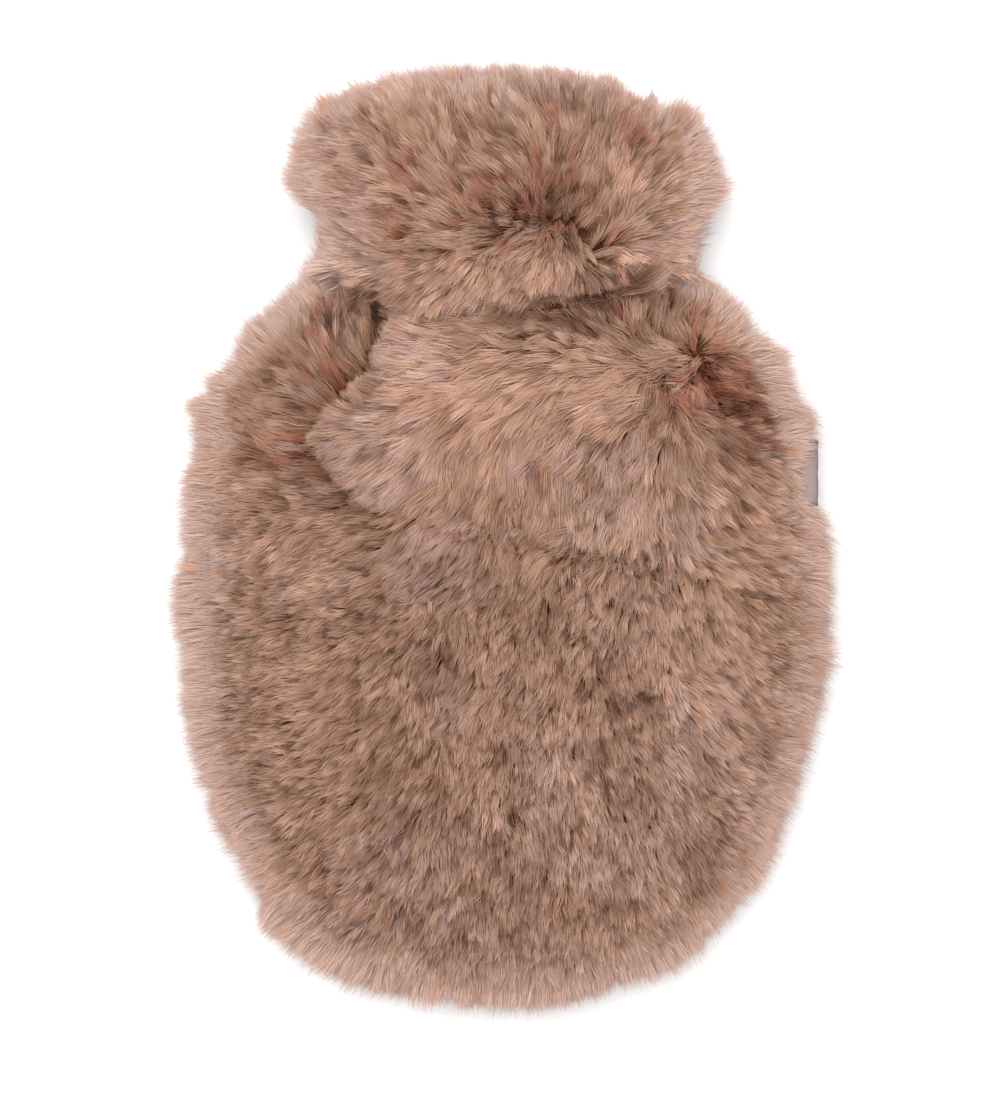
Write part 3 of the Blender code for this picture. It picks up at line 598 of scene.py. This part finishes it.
def from_segment(spots, a, b):
    """How far each pixel is from the segment between a and b, as a vector."""
    along = np.clip(((spots - a) @ (b - a)) / ((b - a) @ (b - a)), 0, 1)
    return spots - (a + along[:, None] * (b - a))


def parted(spots):
    """How deep in a parting each pixel is, and how near one."""
    deep, near = np.zeros(len(spots)), np.zeros(len(spots))
    for p in PARTINGS:
        a, b = np.array([p.x0, p.y0]), np.array([p.x1, p.y1])
        reach = PARTING_REACH * p.width + np.abs(b - a) / 2
        close = np.flatnonzero((np.abs(spots - (a + b) / 2) < reach).all(1))
        off = (from_segment(spots[close], a, b) ** 2).sum(1)
        deep[close] = np.maximum(deep[close], p.depth * np.exp(-off / (2 * p.width**2)))
        wide = 2 * (2.5 * p.width) ** 2
        near[close] = np.maximum(near[close], p.depth * np.exp(-off / wide))
    return deep, near


def oval(spots, row):
    """The share of a row of a table at each pixel: 1 at the middle of its oval, 0 well outside."""
    across, down = (spots[:, 0] - row.x) / row.half_width, (spots[:, 1] - row.y) / row.half_height
    return np.exp(-0.5 * (across**2 + down**2) ** 1.5)


def shaded(spots):
    """How much lighter the pile is at each pixel: partly its tone, partly painted light and shade.
    """
    lift = np.zeros(len(spots))
    for s in SHADES:
        lift += s.lift * oval(spots, s)
    return lift


def laid(spots):
    """How much longer, how much flatter and how much more astray the pile is at each pixel."""
    growth, lean, stray = np.ones(len(spots)), np.zeros(len(spots)), np.zeros(len(spots))
    for s in LIES:
        share = oval(spots, s)
        growth += s.growth * share
        lean += s.lean * share
        stray += s.stray * share
    return growth, lean, stray


def past(line, spots):
    """How far each pixel is past a line, to the right of its run as the picture is seen.

    Below 0 it is short of the line.
    """
    best, signed = np.full(len(spots), 1e9), np.zeros(len(spots))
    for a, b in zip(np.array(line[:-1], float), np.array(line[1:], float)):
        apart = np.linalg.norm(from_segment(spots, a, b), axis=1)
        side = (b - a)[0] * (spots - a)[:, 1] - (b - a)[1] * (spots - a)[:, 0]
        signed = np.where(apart < best, np.sign(side) * apart, signed)
        best = np.minimum(best, apart)
    return signed


def grown(spots):
    """The length of the pile at each pixel, times what it is elsewhere."""
    growth = np.ones(len(spots))
    for t in TRIMS:
        apart = (spots[:, 0] - t.x) ** 2 + (spots[:, 1] - t.y) ** 2
        growth += t.growth * np.exp(-apart / (2 * t.reach**2))
    return growth


def painted_shade(spots, below_yoke, below_hem):
    """Painted shade at each pixel: in a parting, by the yoke's edge or below the collar's hem."""
    near_yoke = np.where(below_yoke, np.exp(-np.maximum(past(YOKE_EDGE, spots), 0) / 7), 0)
    near_hem = np.where(below_hem, np.exp(-np.maximum(-past(COLLAR_HEM, spots), 0) / 4), 0)
    near_hem = near_hem * np.interp(spots[:, 0], *zip(*HEM_SHADE))
    near_any = np.maximum(0.5 * near_yoke, near_hem)
    return np.clip(np.maximum(0.88 * parted(spots)[0] ** 1.3, near_any), 0, 0.95)


def toned(spots, rng, rim, above):
    """The tone of each lock, drawn from the shares of the patches that it lies in."""
    tone = np.full(len(spots), TAN)
    draw = rng.random(len(spots))
    for p in PATCHES:
        tone = np.where(draw < above * p.share * oval(spots, p), p.tone, tone)
    # Rim locks are pale: painted light coming through the thin pile at the edge.
    return np.where(rng.random(len(spots)) < rim, PALE, tone)


# The pile


class Way(namedtuple("Way", "root up side height run")):
    """How strands or locks rise from their roots."""

    def at(self, time):
        rise = (self.height * (1 - (1 - time) ** 1.6))[:, None]
        return self.root + self.up * rise + self.side * (self.run * time**1.3)[:, None]


def way(places, normals, depths, heading, lengths, lean):
    """The rise of strands that lie along heading, a vector for each.

    They lie flatter uphill than downhill.
    """
    facing_up = np.clip(2 * normals[:, 2], 0, 1)
    fall = np.array([0.0, 0.0, -1.0]) * DROOP * np.clip(normals[:, 2:3] + 0.6, 0, 1)
    pull = heading + fall
    along = pull - (pull * normals).sum(1)[:, None] * normals
    slope = np.maximum(np.linalg.norm(along, axis=1), np.clip(1.4 * normals[:, 2], 0, 1))
    downhill = (heading * normals)[:, :2].sum(1) * facing_up
    eased = lean - np.where(downhill < 0, 0.5, 0.25) * downhill
    sine = np.clip(slope * eased, 0.05, 0.97)
    root = places - normals * depths[:, None]
    rise = unit(normals + np.array([0.0, 0.0, 0.8]) * facing_up[:, None])
    height = lengths * np.sqrt(1 - sine**2)
    room = (root[:, 2] - FLOOR_CLEARANCE) / np.maximum(-normals[:, 2], 0.05)
    height = np.where(normals[:, 2] < 0, np.minimum(height, np.maximum(room, LEAST_RISE)), height)
    run = np.sqrt(np.maximum(lengths**2 - height**2, 1e-8))
    return Way(root, rise, unit(along), height, run)


def turned(flow, turn):
    """Directions across the picture, each turned by an angle, as vectors of the row frame."""
    c, s = np.cos(turn), np.sin(turn)
    x, y = flow[:, 0] * c - flow[:, 1] * s, flow[:, 0] * s + flow[:, 1] * c
    return np.stack([x, y, 0 * turn], 1)


# The locks of a piece of pile: how each lies, how it holds together and how it looks. above,
# edge and rim are shares: how far a lock faces up, is of the body's edge and looks like it.
# clear is 0 where its tip would hide the painted shadow at the yoke's edge.
Locks = namedtuple(
    "Locks",
    "place normal heading lengths lean stray clump tilt calm tone light above edge rim clear "
    "below_yoke below_hem",
)


def grown_locks(face, count, rng, keep, nap):
    """The locks of one piece of pile, and their rise."""
    tries = scatter(face, count, rng, keep)
    chosen = spread_out(tries[0], nap.spacing)
    place, normal, depth = (part[chosen] for part in tries)
    total = len(place)
    spots = pixels(place)
    inside, outside, above_hem = (past(line, spots) for line in (OUTLINE, YOKE_EDGE, COLLAR_HEM))

    # Which locks are the body's, and which are of its edge.
    above = np.clip(normal[:, 2] * 3, 0, 1)
    near_outline = np.clip((RIM_BEGINS - inside) / RIM_GROWS, 0, 1)
    at_outline = np.where(normal[:, 2] > 0, near_outline, 1)
    edge = np.clip((0.75 - normal[:, 2]) / 0.6, 0, 1) * at_outline
    rim = np.clip((0.88 - normal[:, 2]) / 0.65, 0, 1) * at_outline
    body = np.full(total, not nap.on_collar) | ((above_hem < 0) & (above > 0))
    left, right, top = HEM_BOX
    hem = ~body & (spots[:, 1] > top) & (spots[:, 0] > left) & (spots[:, 0] < right)
    edge[(body & nap.on_collar) | hem] = 0

    # Which way they lie, and how long they are.
    growth, flatter, stray = laid(spots)
    stray *= above
    turn = np.clip(drift(place, rng, *TURN_DRIFTS), -0.4, 0.4) + rng.normal(0, 0.12, total)
    turn += rng.normal(0, 1, total) * stray
    near = parted(spots)[1]
    lean = (nap.lean + flatter * above) * (1 + drift(place, rng, LEAN_DRIFT))
    lean *= rng.uniform(*LEANS, total)
    lean *= 1 - 0.18 * near * above
    lengths = nap.length * np.where(body, growth, 1) * (1 - edge) + RIM_LENGTH * edge
    lengths *= rng.uniform(*LENGTHS, total)
    lengths *= (1 + drift(place, rng, LENGTH_DRIFT)) * grown(spots)

    def headed(at):
        flow = np.where(body[:, None], combed(at, BODY_COMB), combed(at, COLLAR_COMB))
        return turned(flow, turn)

    locks = way(place, normal, depth, headed(spots), lengths, lean)
    heading = headed((pixels(locks.at(VISIBLE_TIME)) + spots) / 2)
    locks = way(place, normal, depth, heading, lengths, lean)

    # They are cut at the outline, and where they would hang over the yoke's edge or the hem.
    tips = pixels(locks.at(1.0))
    short, beyond, hanging = past(OUTLINE, tips), past(YOKE_EDGE, tips), -past(COLLAR_HEM, tips)
    reach = np.clip(inside / np.maximum(inside - short, 1.0), 0.3, 1.6)
    reach = reach * rng.uniform(*REACHES, total) * (1 + drift(place, rng, REACH_DRIFT))
    of_edge = np.where(edge > 0.75, 1 + (reach - 1) * 0.8, 1.0)
    lengths *= np.where(short < 0, reach, of_edge)
    over = (outside < 0) & (beyond > 0) & body
    over_share = np.clip((beyond - 3) / np.maximum(beyond - outside, 1), 0, 0.6)
    lengths *= 1 - np.where(over, over_share, 0) * above
    in_span = (tips[:, 0] > CUT_SPAN[0]) & (tips[:, 0] < CUT_SPAN[1])
    cut = ~body & (above_hem > 0) & (hanging > 0) & in_span
    cut_share = np.clip((hanging - 2) / np.maximum(hanging + above_hem, 1), 0, 0.6)
    lengths *= 1 - np.where(cut, cut_share, 0) * above

    # How light they are, and which of them are dark.
    locks = way(place, normal, depth, heading, lengths, lean)
    seen = pixels(locks.at(VISIBLE_TIME))
    deep = parted(seen)[0] * above
    covering = np.clip(2 * parted(pixels(locks.at(1.0)))[0] - 1, 0, 1) * above
    lift = shaded(seen) * np.maximum(above, edge)
    tone = toned(seen, rng, 0.95 * rim**1.1, above)
    light = np.full(total, LOCK_LIGHT)
    for one in LIGHT_DRIFTS:
        light += drift(place, rng, one)
    light = light + LIGHT_GIVEN_BACK - np.abs(rng.normal(0, 1, total)) * np.where(body, 0.13, 0.17)
    light += rng.normal(0, 0.04, total)
    # The rim is painted paler and calmer: painted light coming through the thin pile at the edge.
    light = 0.5 + (light - 0.5) * (1 - 0.8 * rim) + lift + np.where(tone == TAN, 0.16, 0.04) * rim
    below_yoke, below_hem = (outside >= 0) & body, body & (above_hem < 0)
    # Locks just below the yoke's edge are darker and more often dark: painted shadow of the yoke.
    under = np.where(below_yoke, np.exp(-outside / 10), 0) * above
    light -= 0.16 * under
    draw = rng.random(total)
    chance = DARK_LOCKS * (1 - edge) ** 2 * (1 - 1.4 * lift)
    dark = draw < chance * (1 + drift(place, rng, DARK_DRIFT)) + 0.25 * under
    clear = np.where((outside < 0) & (outside > -30) & (beyond > 0), 0.0, 1.0)
    dark &= (outside > 2) | (outside < -14) | ~body
    # Locks seen in a parting are painted dark: painted shade where the pile parts.
    dark |= rng.random(total) < 0.6 * deep * clear
    light = np.where(dark, light * DARKENED, light)
    lengths *= (
        np.where(dark, rng.uniform(*DARK_LENGTHS, total), 1.0)
        * (1 - 0.5 * np.clip(4 * deep - 3.2, 0, 1))
        * (1 - 0.3 * covering)
    )
    clump = (nap.clump + (RIM_CLUMP - nap.clump) * edge) * (1 - 0.5 * near * above)
    calm = (1 - 0.9 * rim)[:, None]
    upturned = normal + np.array([0.0, 0.0, 2.0]) * edge[:, None]
    tilt = unit(upturned + rng.normal(0, 0.17, (total, 3)) * calm)
    return Locks(
        place, normal, heading, lengths, lean, stray, clump, tilt, calm, tone, light, above, edge,
        rim, clear, below_yoke, below_hem,
    ), way(place, normal, depth, heading, lengths, lean)


def pile(name, face, count, rng, keep, nap):
    """One piece of pile: strands rooted under the face, each bent towards its nearest lock."""
    locks, rises = grown_locks(face, count, rng, keep, nap)
    total = len(locks.place)
    tree = KDTree(total)
    for i, p in enumerate(locks.place):
        tree.insert(p, i)
    tree.balance()
    kinds = []
    for form in FORMS:
        number = int(count * form.share)
        places, normals, depths = scatter(face, number, rng, keep)
        mine = np.array([tree.find(p)[1] for p in places])
        own = Locks(*(part[mine] for part in locks))
        guide = Way(*(part[mine] for part in rises))
        wild = (0.13 + 0.5 * own.stray)[:, None]
        heading = unit(own.heading + rng.normal(0, 1, (number, 3)) * wild)
        off = places - own.place
        for way_out in (own.normal, own.heading):
            off -= (off * way_out).sum(1)[:, None] * way_out
        aside = np.linalg.norm(off, axis=1) / nap.spacing
        lengths = own.lengths * rng.uniform(*STRAND_LENGTHS, number)
        lean = own.lean * rng.uniform(*STRAND_LEANS, number)
        strands = way(places, normals, depths, heading, lengths, lean)
        tight = own.clump * rng.uniform(*STRAND_HOLDS, number)
        tight[rng.random(number) < 0.08] *= 0.15
        loose = (1 + 1.2 * own.stray)[:, None]
        curl = rng.normal(0, CURL, (number, 3)) * loose
        bend = rng.normal(0, STRAND_BEND, (number, 3))
        bend += rng.normal(0, LOCK_BEND, (total, 3))[mine] * loose

        rings = []
        for time in form.times:
            gathered = (tight * time**1.3)[:, None]
            point = strands.at(time)
            point = point + (guide.at(time) - point) * gathered
            point = point + curl * time**1.5 + bend * math.sin(math.pi * time)
            if time > 0:
                lowest = FLOOR_CLEARANCE + FLOOR_SPREAD * rng.random(number)
                point[:, 2] = np.maximum(point[:, 2], lowest)
            rings.append(point)
        pit = np.clip(1.6 * parted(pixels(rings[-1]))[0] - 0.3, 0, 1) * own.above * own.clear
        kept = (1 - 0.35 * pit)[:, None]
        rings[1:] = [rings[0] + (ring - rings[0]) * kept for ring in rings[1:]]
        faced = unit(own.tilt + rng.normal(0, 0.07, (number, 3)) * own.calm)
        half = form.thick * (1 - 0.25 * own.edge) / 2 * rng.uniform(*STRAND_WIDTHS, number)
        across = unit(np.cross(rings[-1] - rings[0], faced)) * half[:, None]
        corners = np.empty((number, 2 * len(form.widths) + 1, 3))
        for i, share in enumerate(form.widths):
            corners[:, 2 * i] = rings[i] - across * share
            corners[:, 2 * i + 1] = rings[i] + across * share
        corners[:, -1] = rings[-1]

        light = own.light + rng.normal(0, 0.025, number)
        # A lock's side strands are painted darker than its core: painted shade of a rounded lock.
        light = light - 0.14 * (np.minimum(aside, 0.9) - 0.35) * (1 - own.rim)
        # Each ring is darkened by the painted shade of partings, the yoke's edge and the collar's
        # hem.
        shades = [painted_shade(pixels(ring), own.below_yoke, own.below_hem) for ring in rings]
        lights = np.stack([light * (1 - shade * own.above) for shade in shades], 1)
        u = (own.tone[:, None] + 0.04 + 0.92 * np.clip(lights, 0.0, 1.0)) / TONES
        times = np.array(form.times)[None, :]
        # Rim strands take less of the root shade: painted light at the rim.
        kinds.append((corners, u, times + 0.4 * own.rim[:, None] * (1 - times)))
    return strand_mesh(name, kinds)


def strand_mesh(name, kinds):
    """The strands as one mesh of quads and a pointed tip.

    Its map has the tone across it, and runs up it from root to tip.
    """
    points, loops, starts, uvs = [], [], [], []
    first_point, first_loop = 0, 0
    for corners, u, v in kinds:
        count, size = corners.shape[:2]
        quads = (size - 3) // 2
        pattern = [c for i in range(quads) for c in (2 * i, 2 * i + 1, 2 * i + 3, 2 * i + 2)]
        pattern = np.array(pattern + [size - 3, size - 2, size - 1])
        across = np.array([-0.5, 0.5] * (quads + 1) + [0.0]) * TONE_WIDTH
        row = pattern // 2
        uv = np.empty((count, len(pattern), 2))
        uv[:, :, 0] = u[:, row] + across[pattern]
        uv[:, :, 1] = 0.01 + 0.98 * v[:, row]
        each = np.arange(count)[:, None]
        points.append(corners.reshape(-1, 3))
        loops.append((first_point + each * size + pattern).ravel())
        starts.append((first_loop + each * len(pattern) + np.arange(quads + 1) * 4).ravel())
        uvs.append(uv.reshape(-1, 2))
        first_point += count * size
        first_loop += count * len(pattern)
    points, loops, starts, uvs = (np.concatenate(part) for part in (points, loops, starts, uvs))
    mesh = bpy.data.meshes.new(name)
    mesh.vertices.add(len(points))
    mesh.vertices.foreach_set("co", points.astype(np.float32).ravel())
    mesh.loops.add(len(loops))
    mesh.loops.foreach_set("vertex_index", loops)
    mesh.polygons.add(len(starts))
    mesh.polygons.foreach_set("loop_start", starts)
    layer = mesh.uv_layers.new(name="OFBake")
    layer.data.foreach_set("uv", uvs.astype(np.float32).ravel())
    mesh.update(calc_edges=True)
    return piece(name, mesh, FUR)


# Materials


def settle(node, values):
    """Sets the values of a node's inputs."""
    for name, value in values.items():
        node.inputs[name].default_value = value


def material(name, values):
    """A material, its node tree, and its shader with its values set."""
    made = bpy.data.materials.new(name)
    made.use_nodes = True
    shader = made.node_tree.nodes["Principled BSDF"]
    settle(shader, values)
    return made, made.node_tree, shader


def texture(tree, kind, places, values):
    """The pattern of a texture that is laid over places."""
    made = tree.nodes.new(kind)
    settle(made, values)
    tree.links.new(places, made.inputs["Vector"])
    return made


def ramp(tree, factor, stops):
    """The colour that a ramp gives for a factor."""
    made = tree.nodes.new("ShaderNodeValToRGB")
    elements = made.color_ramp.elements
    for position, _ in stops[2:]:
        elements.new(position)
    for element, (position, colour) in zip(elements, stops):
        element.position = position
        element.color = colour
    tree.links.new(factor, made.inputs["Fac"])
    return made.outputs["Color"]


def multiplied(tree, one, other):
    """One colour times the other."""
    mix = tree.nodes.new("ShaderNodeMix")
    mix.data_type = "RGBA"
    mix.blend_type = "MULTIPLY"
    mix.inputs["Factor"].default_value = 1.0
    tree.links.new(one, mix.inputs["A"])
    tree.links.new(other, mix.inputs["B"])
    return mix.outputs["Result"]


def emboss(tree, shader, rib, values):
    """Presses the ribs of a wave texture into the shader's surface."""
    bump = tree.nodes.new("ShaderNodeBump")
    settle(bump, values)
    tree.links.new(rib.outputs["Fac"], bump.inputs["Height"])
    tree.links.new(bump.outputs["Normal"], shader.inputs["Normal"])


def fur_material():
    """Tone across the map and root to tip up it."""
    made, tree, shader = material("long_pile", {
        "Roughness": 0.62,
        "Specular IOR Level": 0.2,
        "Specular Tint": GLOSS_TINT,
        "Sheen Weight": 0.15,
        "Sheen Roughness": 0.5,
        "Sheen Tint": GLOSS_TINT,
    })
    uv = tree.nodes.new("ShaderNodeUVMap")
    uv.uv_map = "OFBake"
    split = tree.nodes.new("ShaderNodeSeparateXYZ")
    tree.links.new(uv.outputs["UV"], split.inputs[0])
    stops = []
    for tone in range(TONES):
        stops.append(((tone + 0.01) / TONES, linear(TONE_DARK[tone])))
        stops.append(((tone + 0.99) / TONES, linear(TONE_LIGHT[tone])))
    tones = ramp(tree, split.outputs["X"], stops)
    shade = ramp(tree, split.outputs["Y"], [(at, (*tint, 1.0)) for at, tint in ROOT_SHADE])
    tree.links.new(multiplied(tree, tones, shade), shader.inputs["Base Color"])
    return made


def backing_material():
    """A brown knitted backing."""
    made, tree, shader = material(
        "knitted_backing", {"Roughness": 0.95, "Specular IOR Level": 0.1}
    )
    places = tree.nodes.new("ShaderNodeTexCoord").outputs["Object"]
    noise = texture(tree, "ShaderNodeTexNoise", places, {"Scale": 420.0, "Detail": 3.0})
    stops = [(at, linear([c * k for c in BACKING_COLOUR])) for at, k in ((0.3, 0.7), (0.7, 1.15))]
    tree.links.new(ramp(tree, noise.outputs["Fac"], stops), shader.inputs["Base Color"])
    rib = texture(tree, "ShaderNodeTexWave", places, {"Scale": 230.0, "Distortion": 1.5})
    emboss(tree, shader, rib, {"Strength": 0.5, "Distance": 0.0006})
    return made


def tape_material():
    """A fine ribbed tape with darker selvedges along its two ends."""
    made, tree, shader = material("woven_tape", {"Roughness": 0.42, "Sheen Weight": 0.25})
    coords = tree.nodes.new("ShaderNodeTexCoord")
    split = tree.nodes.new("ShaderNodeSeparateXYZ")
    tree.links.new(coords.outputs["UV"], split.inputs[0])
    edge = ramp(tree, split.outputs["Y"], [(at, linear(tint)) for at, tint in TAPE_SELVEDGES])
    # The fold is painted darker: painted shade where the tape turns.
    folds = [(at, linear([c * k for c in TAPE_WHITE])) for at, k in TAPE_FOLD]
    folded = multiplied(tree, edge, ramp(tree, split.outputs["X"], folds))
    noise = texture(tree, "ShaderNodeTexNoise", coords.outputs["Object"], {"Scale": 900.0})
    speckles = [(0.3, (0.86, 0.86, 0.86, 1.0)), (0.7, (1.0, 1.0, 1.0, 1.0))]
    speckle = ramp(tree, noise.outputs["Fac"], speckles)
    tree.links.new(multiplied(tree, folded, speckle), shader.inputs["Base Color"])
    rib = texture(tree, "ShaderNodeTexWave", coords.outputs["Object"], {"Scale": 560.0})
    rib.bands_direction = "Y"
    emboss(tree, shader, rib, {"Strength": 0.6, "Distance": 0.0001})
    return made


# The pieces, the stage and the camera


def linked(name, data):
    """A new object in the scene."""
    made = bpy.data.objects.new(name, data)
    bpy.context.scene.collection.objects.link(made)
    return made


def piece(name, mesh, surface):
    """A smooth piece of the cover."""
    mesh.validate()
    mesh.polygons.foreach_set("use_smooth", np.ones(len(mesh.polygons), bool))
    mesh.materials.append(surface)
    made = linked(name, mesh)
    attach(made, "root")
    return made


def backing(name, node, face):
    """The cloth under the pile: the node's own shell, its outer face let in by the pile's depth."""
    moved = face.corners.copy()
    used = np.unique(face.triangles)
    moved[used] -= face.normals[used] * face.depths[used][:, None]
    mesh = bpy.data.meshes.new(name)
    mesh.from_pydata(moved.tolist(), [], face.all_triangles.tolist())
    made = piece(name, mesh, BACKING)
    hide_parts(node)


def folded_tape(name, node):
    """The tab: a short tape folded in two, its cut ends in the side seam and its fold outside."""
    corners, _ = welded(node)
    low, high = corners.min(0), corners.max(0) - np.array([TAPE_SHORT, 0, 0])
    middle_z, radius = (low[2] + high[2]) / 2, (high[2] - low[2]) / 2
    turn_x = high[0] - radius
    path = [(x, radius) for x in np.linspace(low[0], turn_x, TAPE_STEPS)[:-1]]
    for a in np.linspace(math.pi / 2, -math.pi / 2, TAPE_BENDS):
        path.append((turn_x + radius * math.cos(a), radius * math.sin(a)))
    path += [(x, -radius) for x in np.linspace(turn_x, low[0], TAPE_STEPS)[1:]]
    path = np.array(path)
    along = np.gradient(path, axis=0)
    inner = path + TAPE_THICK * unit(np.stack([-along[:, 1], along[:, 0]], 1))
    ring = np.concatenate([path, inner[::-1]])
    points = []
    for k, y in enumerate(np.linspace(low[1], high[1], TAPE_ROWS)):
        t = k / (TAPE_ROWS - 1)
        wave = 0.00007 * math.sin(9.0 * t + 0.6) + 0.00003 * math.sin(23.0 * t)
        selvedge = 1.0 + 0.10 * (k in (1, TAPE_ROWS - 2))
        for x, z in ring:
            share = (x - low[0]) / (high[0] - low[0])
            lifted = middle_z + z * selvedge * (0.92 - 0.25 * (1 - share)) + wave * share * 0.5
            points.append((x - abs(wave) * 2 * share, y, lifted))
    size, half = len(ring), len(path)
    faces = []
    for k in range(TAPE_ROWS - 1):
        for i in range(size):
            a, b = k * size + i, k * size + (i + 1) % size
            faces.append((a, b, b + size, a + size))
    for k in (0, TAPE_ROWS - 1):
        for i in range(half - 1):
            first, last = k * size + i, k * size + size - 1 - i
            cap = (first, first + 1, last - 1, last)
            faces.append(cap if k else cap[::-1])
    mesh = bpy.data.meshes.new(name)
    mesh.from_pydata(points, [], faces)
    layer = mesh.uv_layers.new(name="weave")
    for loop, uv in zip(mesh.loops, layer.data):
        row, place = divmod(loop.vertex_index, size)
        uv.uv = (place / size, row / (TAPE_ROWS - 1))
    made = piece(name, mesh, TAPE)
    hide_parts(node)


def softbox(name, place, power):
    """A round lamp that looks at the middle of the cover."""
    data = bpy.data.lights.new(name, "AREA")
    data.shape = "DISK"
    data.size = 0.9
    data.energy = power
    lamp = linked(name, data)
    lamp.location = place
    aim = Vector((0, 0, SEAM_Z)) - Vector(place)
    lamp.rotation_euler = aim.to_track_quat("-Z", "Y").to_euler()


def stage():
    """A pale floor, an even studio and two softboxes."""
    mesh = bpy.data.meshes.new("floor")
    mesh.from_pydata([(-4, -4, 0), (4, -4, 0), (4, 4, 0), (-4, 4, 0)], [], [(0, 1, 2, 3)])
    values = {"Base Color": FLOOR_COLOUR, "Roughness": 0.9, "Specular IOR Level": 0.1}
    mesh.materials.append(material("pale_floor", values)[0])
    floor = linked("floor", mesh)
    world = bpy.data.worlds.new("studio")
    world.use_nodes = True
    settle(world.node_tree.nodes["Background"], {"Color": (1, 1, 1, 1), "Strength": 0.66})
    bpy.context.scene.world = world
    softbox("softbox_over", (-0.12, 0.22, 1.6), 25.0)
    softbox("softbox_side", (1.2, -0.9, 1.0), 4.5)
    bpy.context.scene.view_settings.view_transform = "Standard"


def camera():
    """The photograph's view, straight down."""
    data = bpy.data.cameras.new("camera")
    data.lens = LENS
    data.sensor_width = SENSOR
    data.clip_start, data.clip_end = 0.05, 20
    made = linked("camera", data)
    made.location = (*FRAME_CENTRE, SEAM_Z + CAMERA_HEIGHT)
    bpy.context.scene.camera = made


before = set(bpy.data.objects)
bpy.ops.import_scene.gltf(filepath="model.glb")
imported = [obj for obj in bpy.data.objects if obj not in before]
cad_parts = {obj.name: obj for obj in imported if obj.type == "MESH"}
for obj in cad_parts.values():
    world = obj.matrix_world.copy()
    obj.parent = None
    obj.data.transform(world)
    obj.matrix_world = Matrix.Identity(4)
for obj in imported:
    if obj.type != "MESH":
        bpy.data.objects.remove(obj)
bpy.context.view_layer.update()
camera()
stage()
FUR = fur_material()
BACKING = backing_material()
TAPE = tape_material()

front = outer_face("front_panel")
back = outer_face("back_panel")
collar = outer_face("collar")


def band(low, high, side_rise=0.0, axis=1):
    """Keeps what lies between two places along an axis, and a little more at the neck's sides."""
    def keep(middle):
        top = high + side_rise * (np.abs(middle[:, 0]) > SIDE_X)
        return ((middle[:, axis] >= low) & (middle[:, axis] < top)).astype(float)
    return keep


rng = np.random.default_rng(SEED)
front_high = band(FRONT_HIGH_Y, COLLAR_HEM_Y + UNDER_COLLAR, FRONT_SIDE_RISE)
back_high = band(BACK_SPLIT_Y, COLLAR_HEM_Y, BACK_SIDE_RISE)
collar_front, collar_back = band(COLLAR_SPLIT_Z, 1, axis=2), band(-1, COLLAR_SPLIT_Z, axis=2)
front_pile = [
    pile("front_pile_low", front, 37000, rng, band(-1, FRONT_LOW_Y), BODY_NAP),
    pile("front_pile_middle", front, 37000, rng, band(FRONT_LOW_Y, FRONT_HIGH_Y), BODY_NAP),
    pile("front_pile_high", front, 38000, rng, front_high, YOKE_NAP),
]
back_pile = [
    pile("back_pile_low", back, 20000, rng, band(-1, BACK_SPLIT_Y), BACK_NAP),
    pile("back_pile_high", back, 20000, rng, back_high, BACK_NAP),
]
collar_pile = [
    pile("collar_pile_front", collar, 30000, rng, collar_front, COLLAR_NAP),
    pile("collar_pile_back", collar, 9000, rng, collar_back, COLLAR_BACK_NAP),
]
backing("front_backing", "front_panel", front)
backing("back_backing", "back_panel", back)
backing("collar_backing", "collar", collar)
folded_tape("side_tape", "side_tab")
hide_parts("seam_pile_left", "seam_pile_right")
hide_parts("collar_pile")
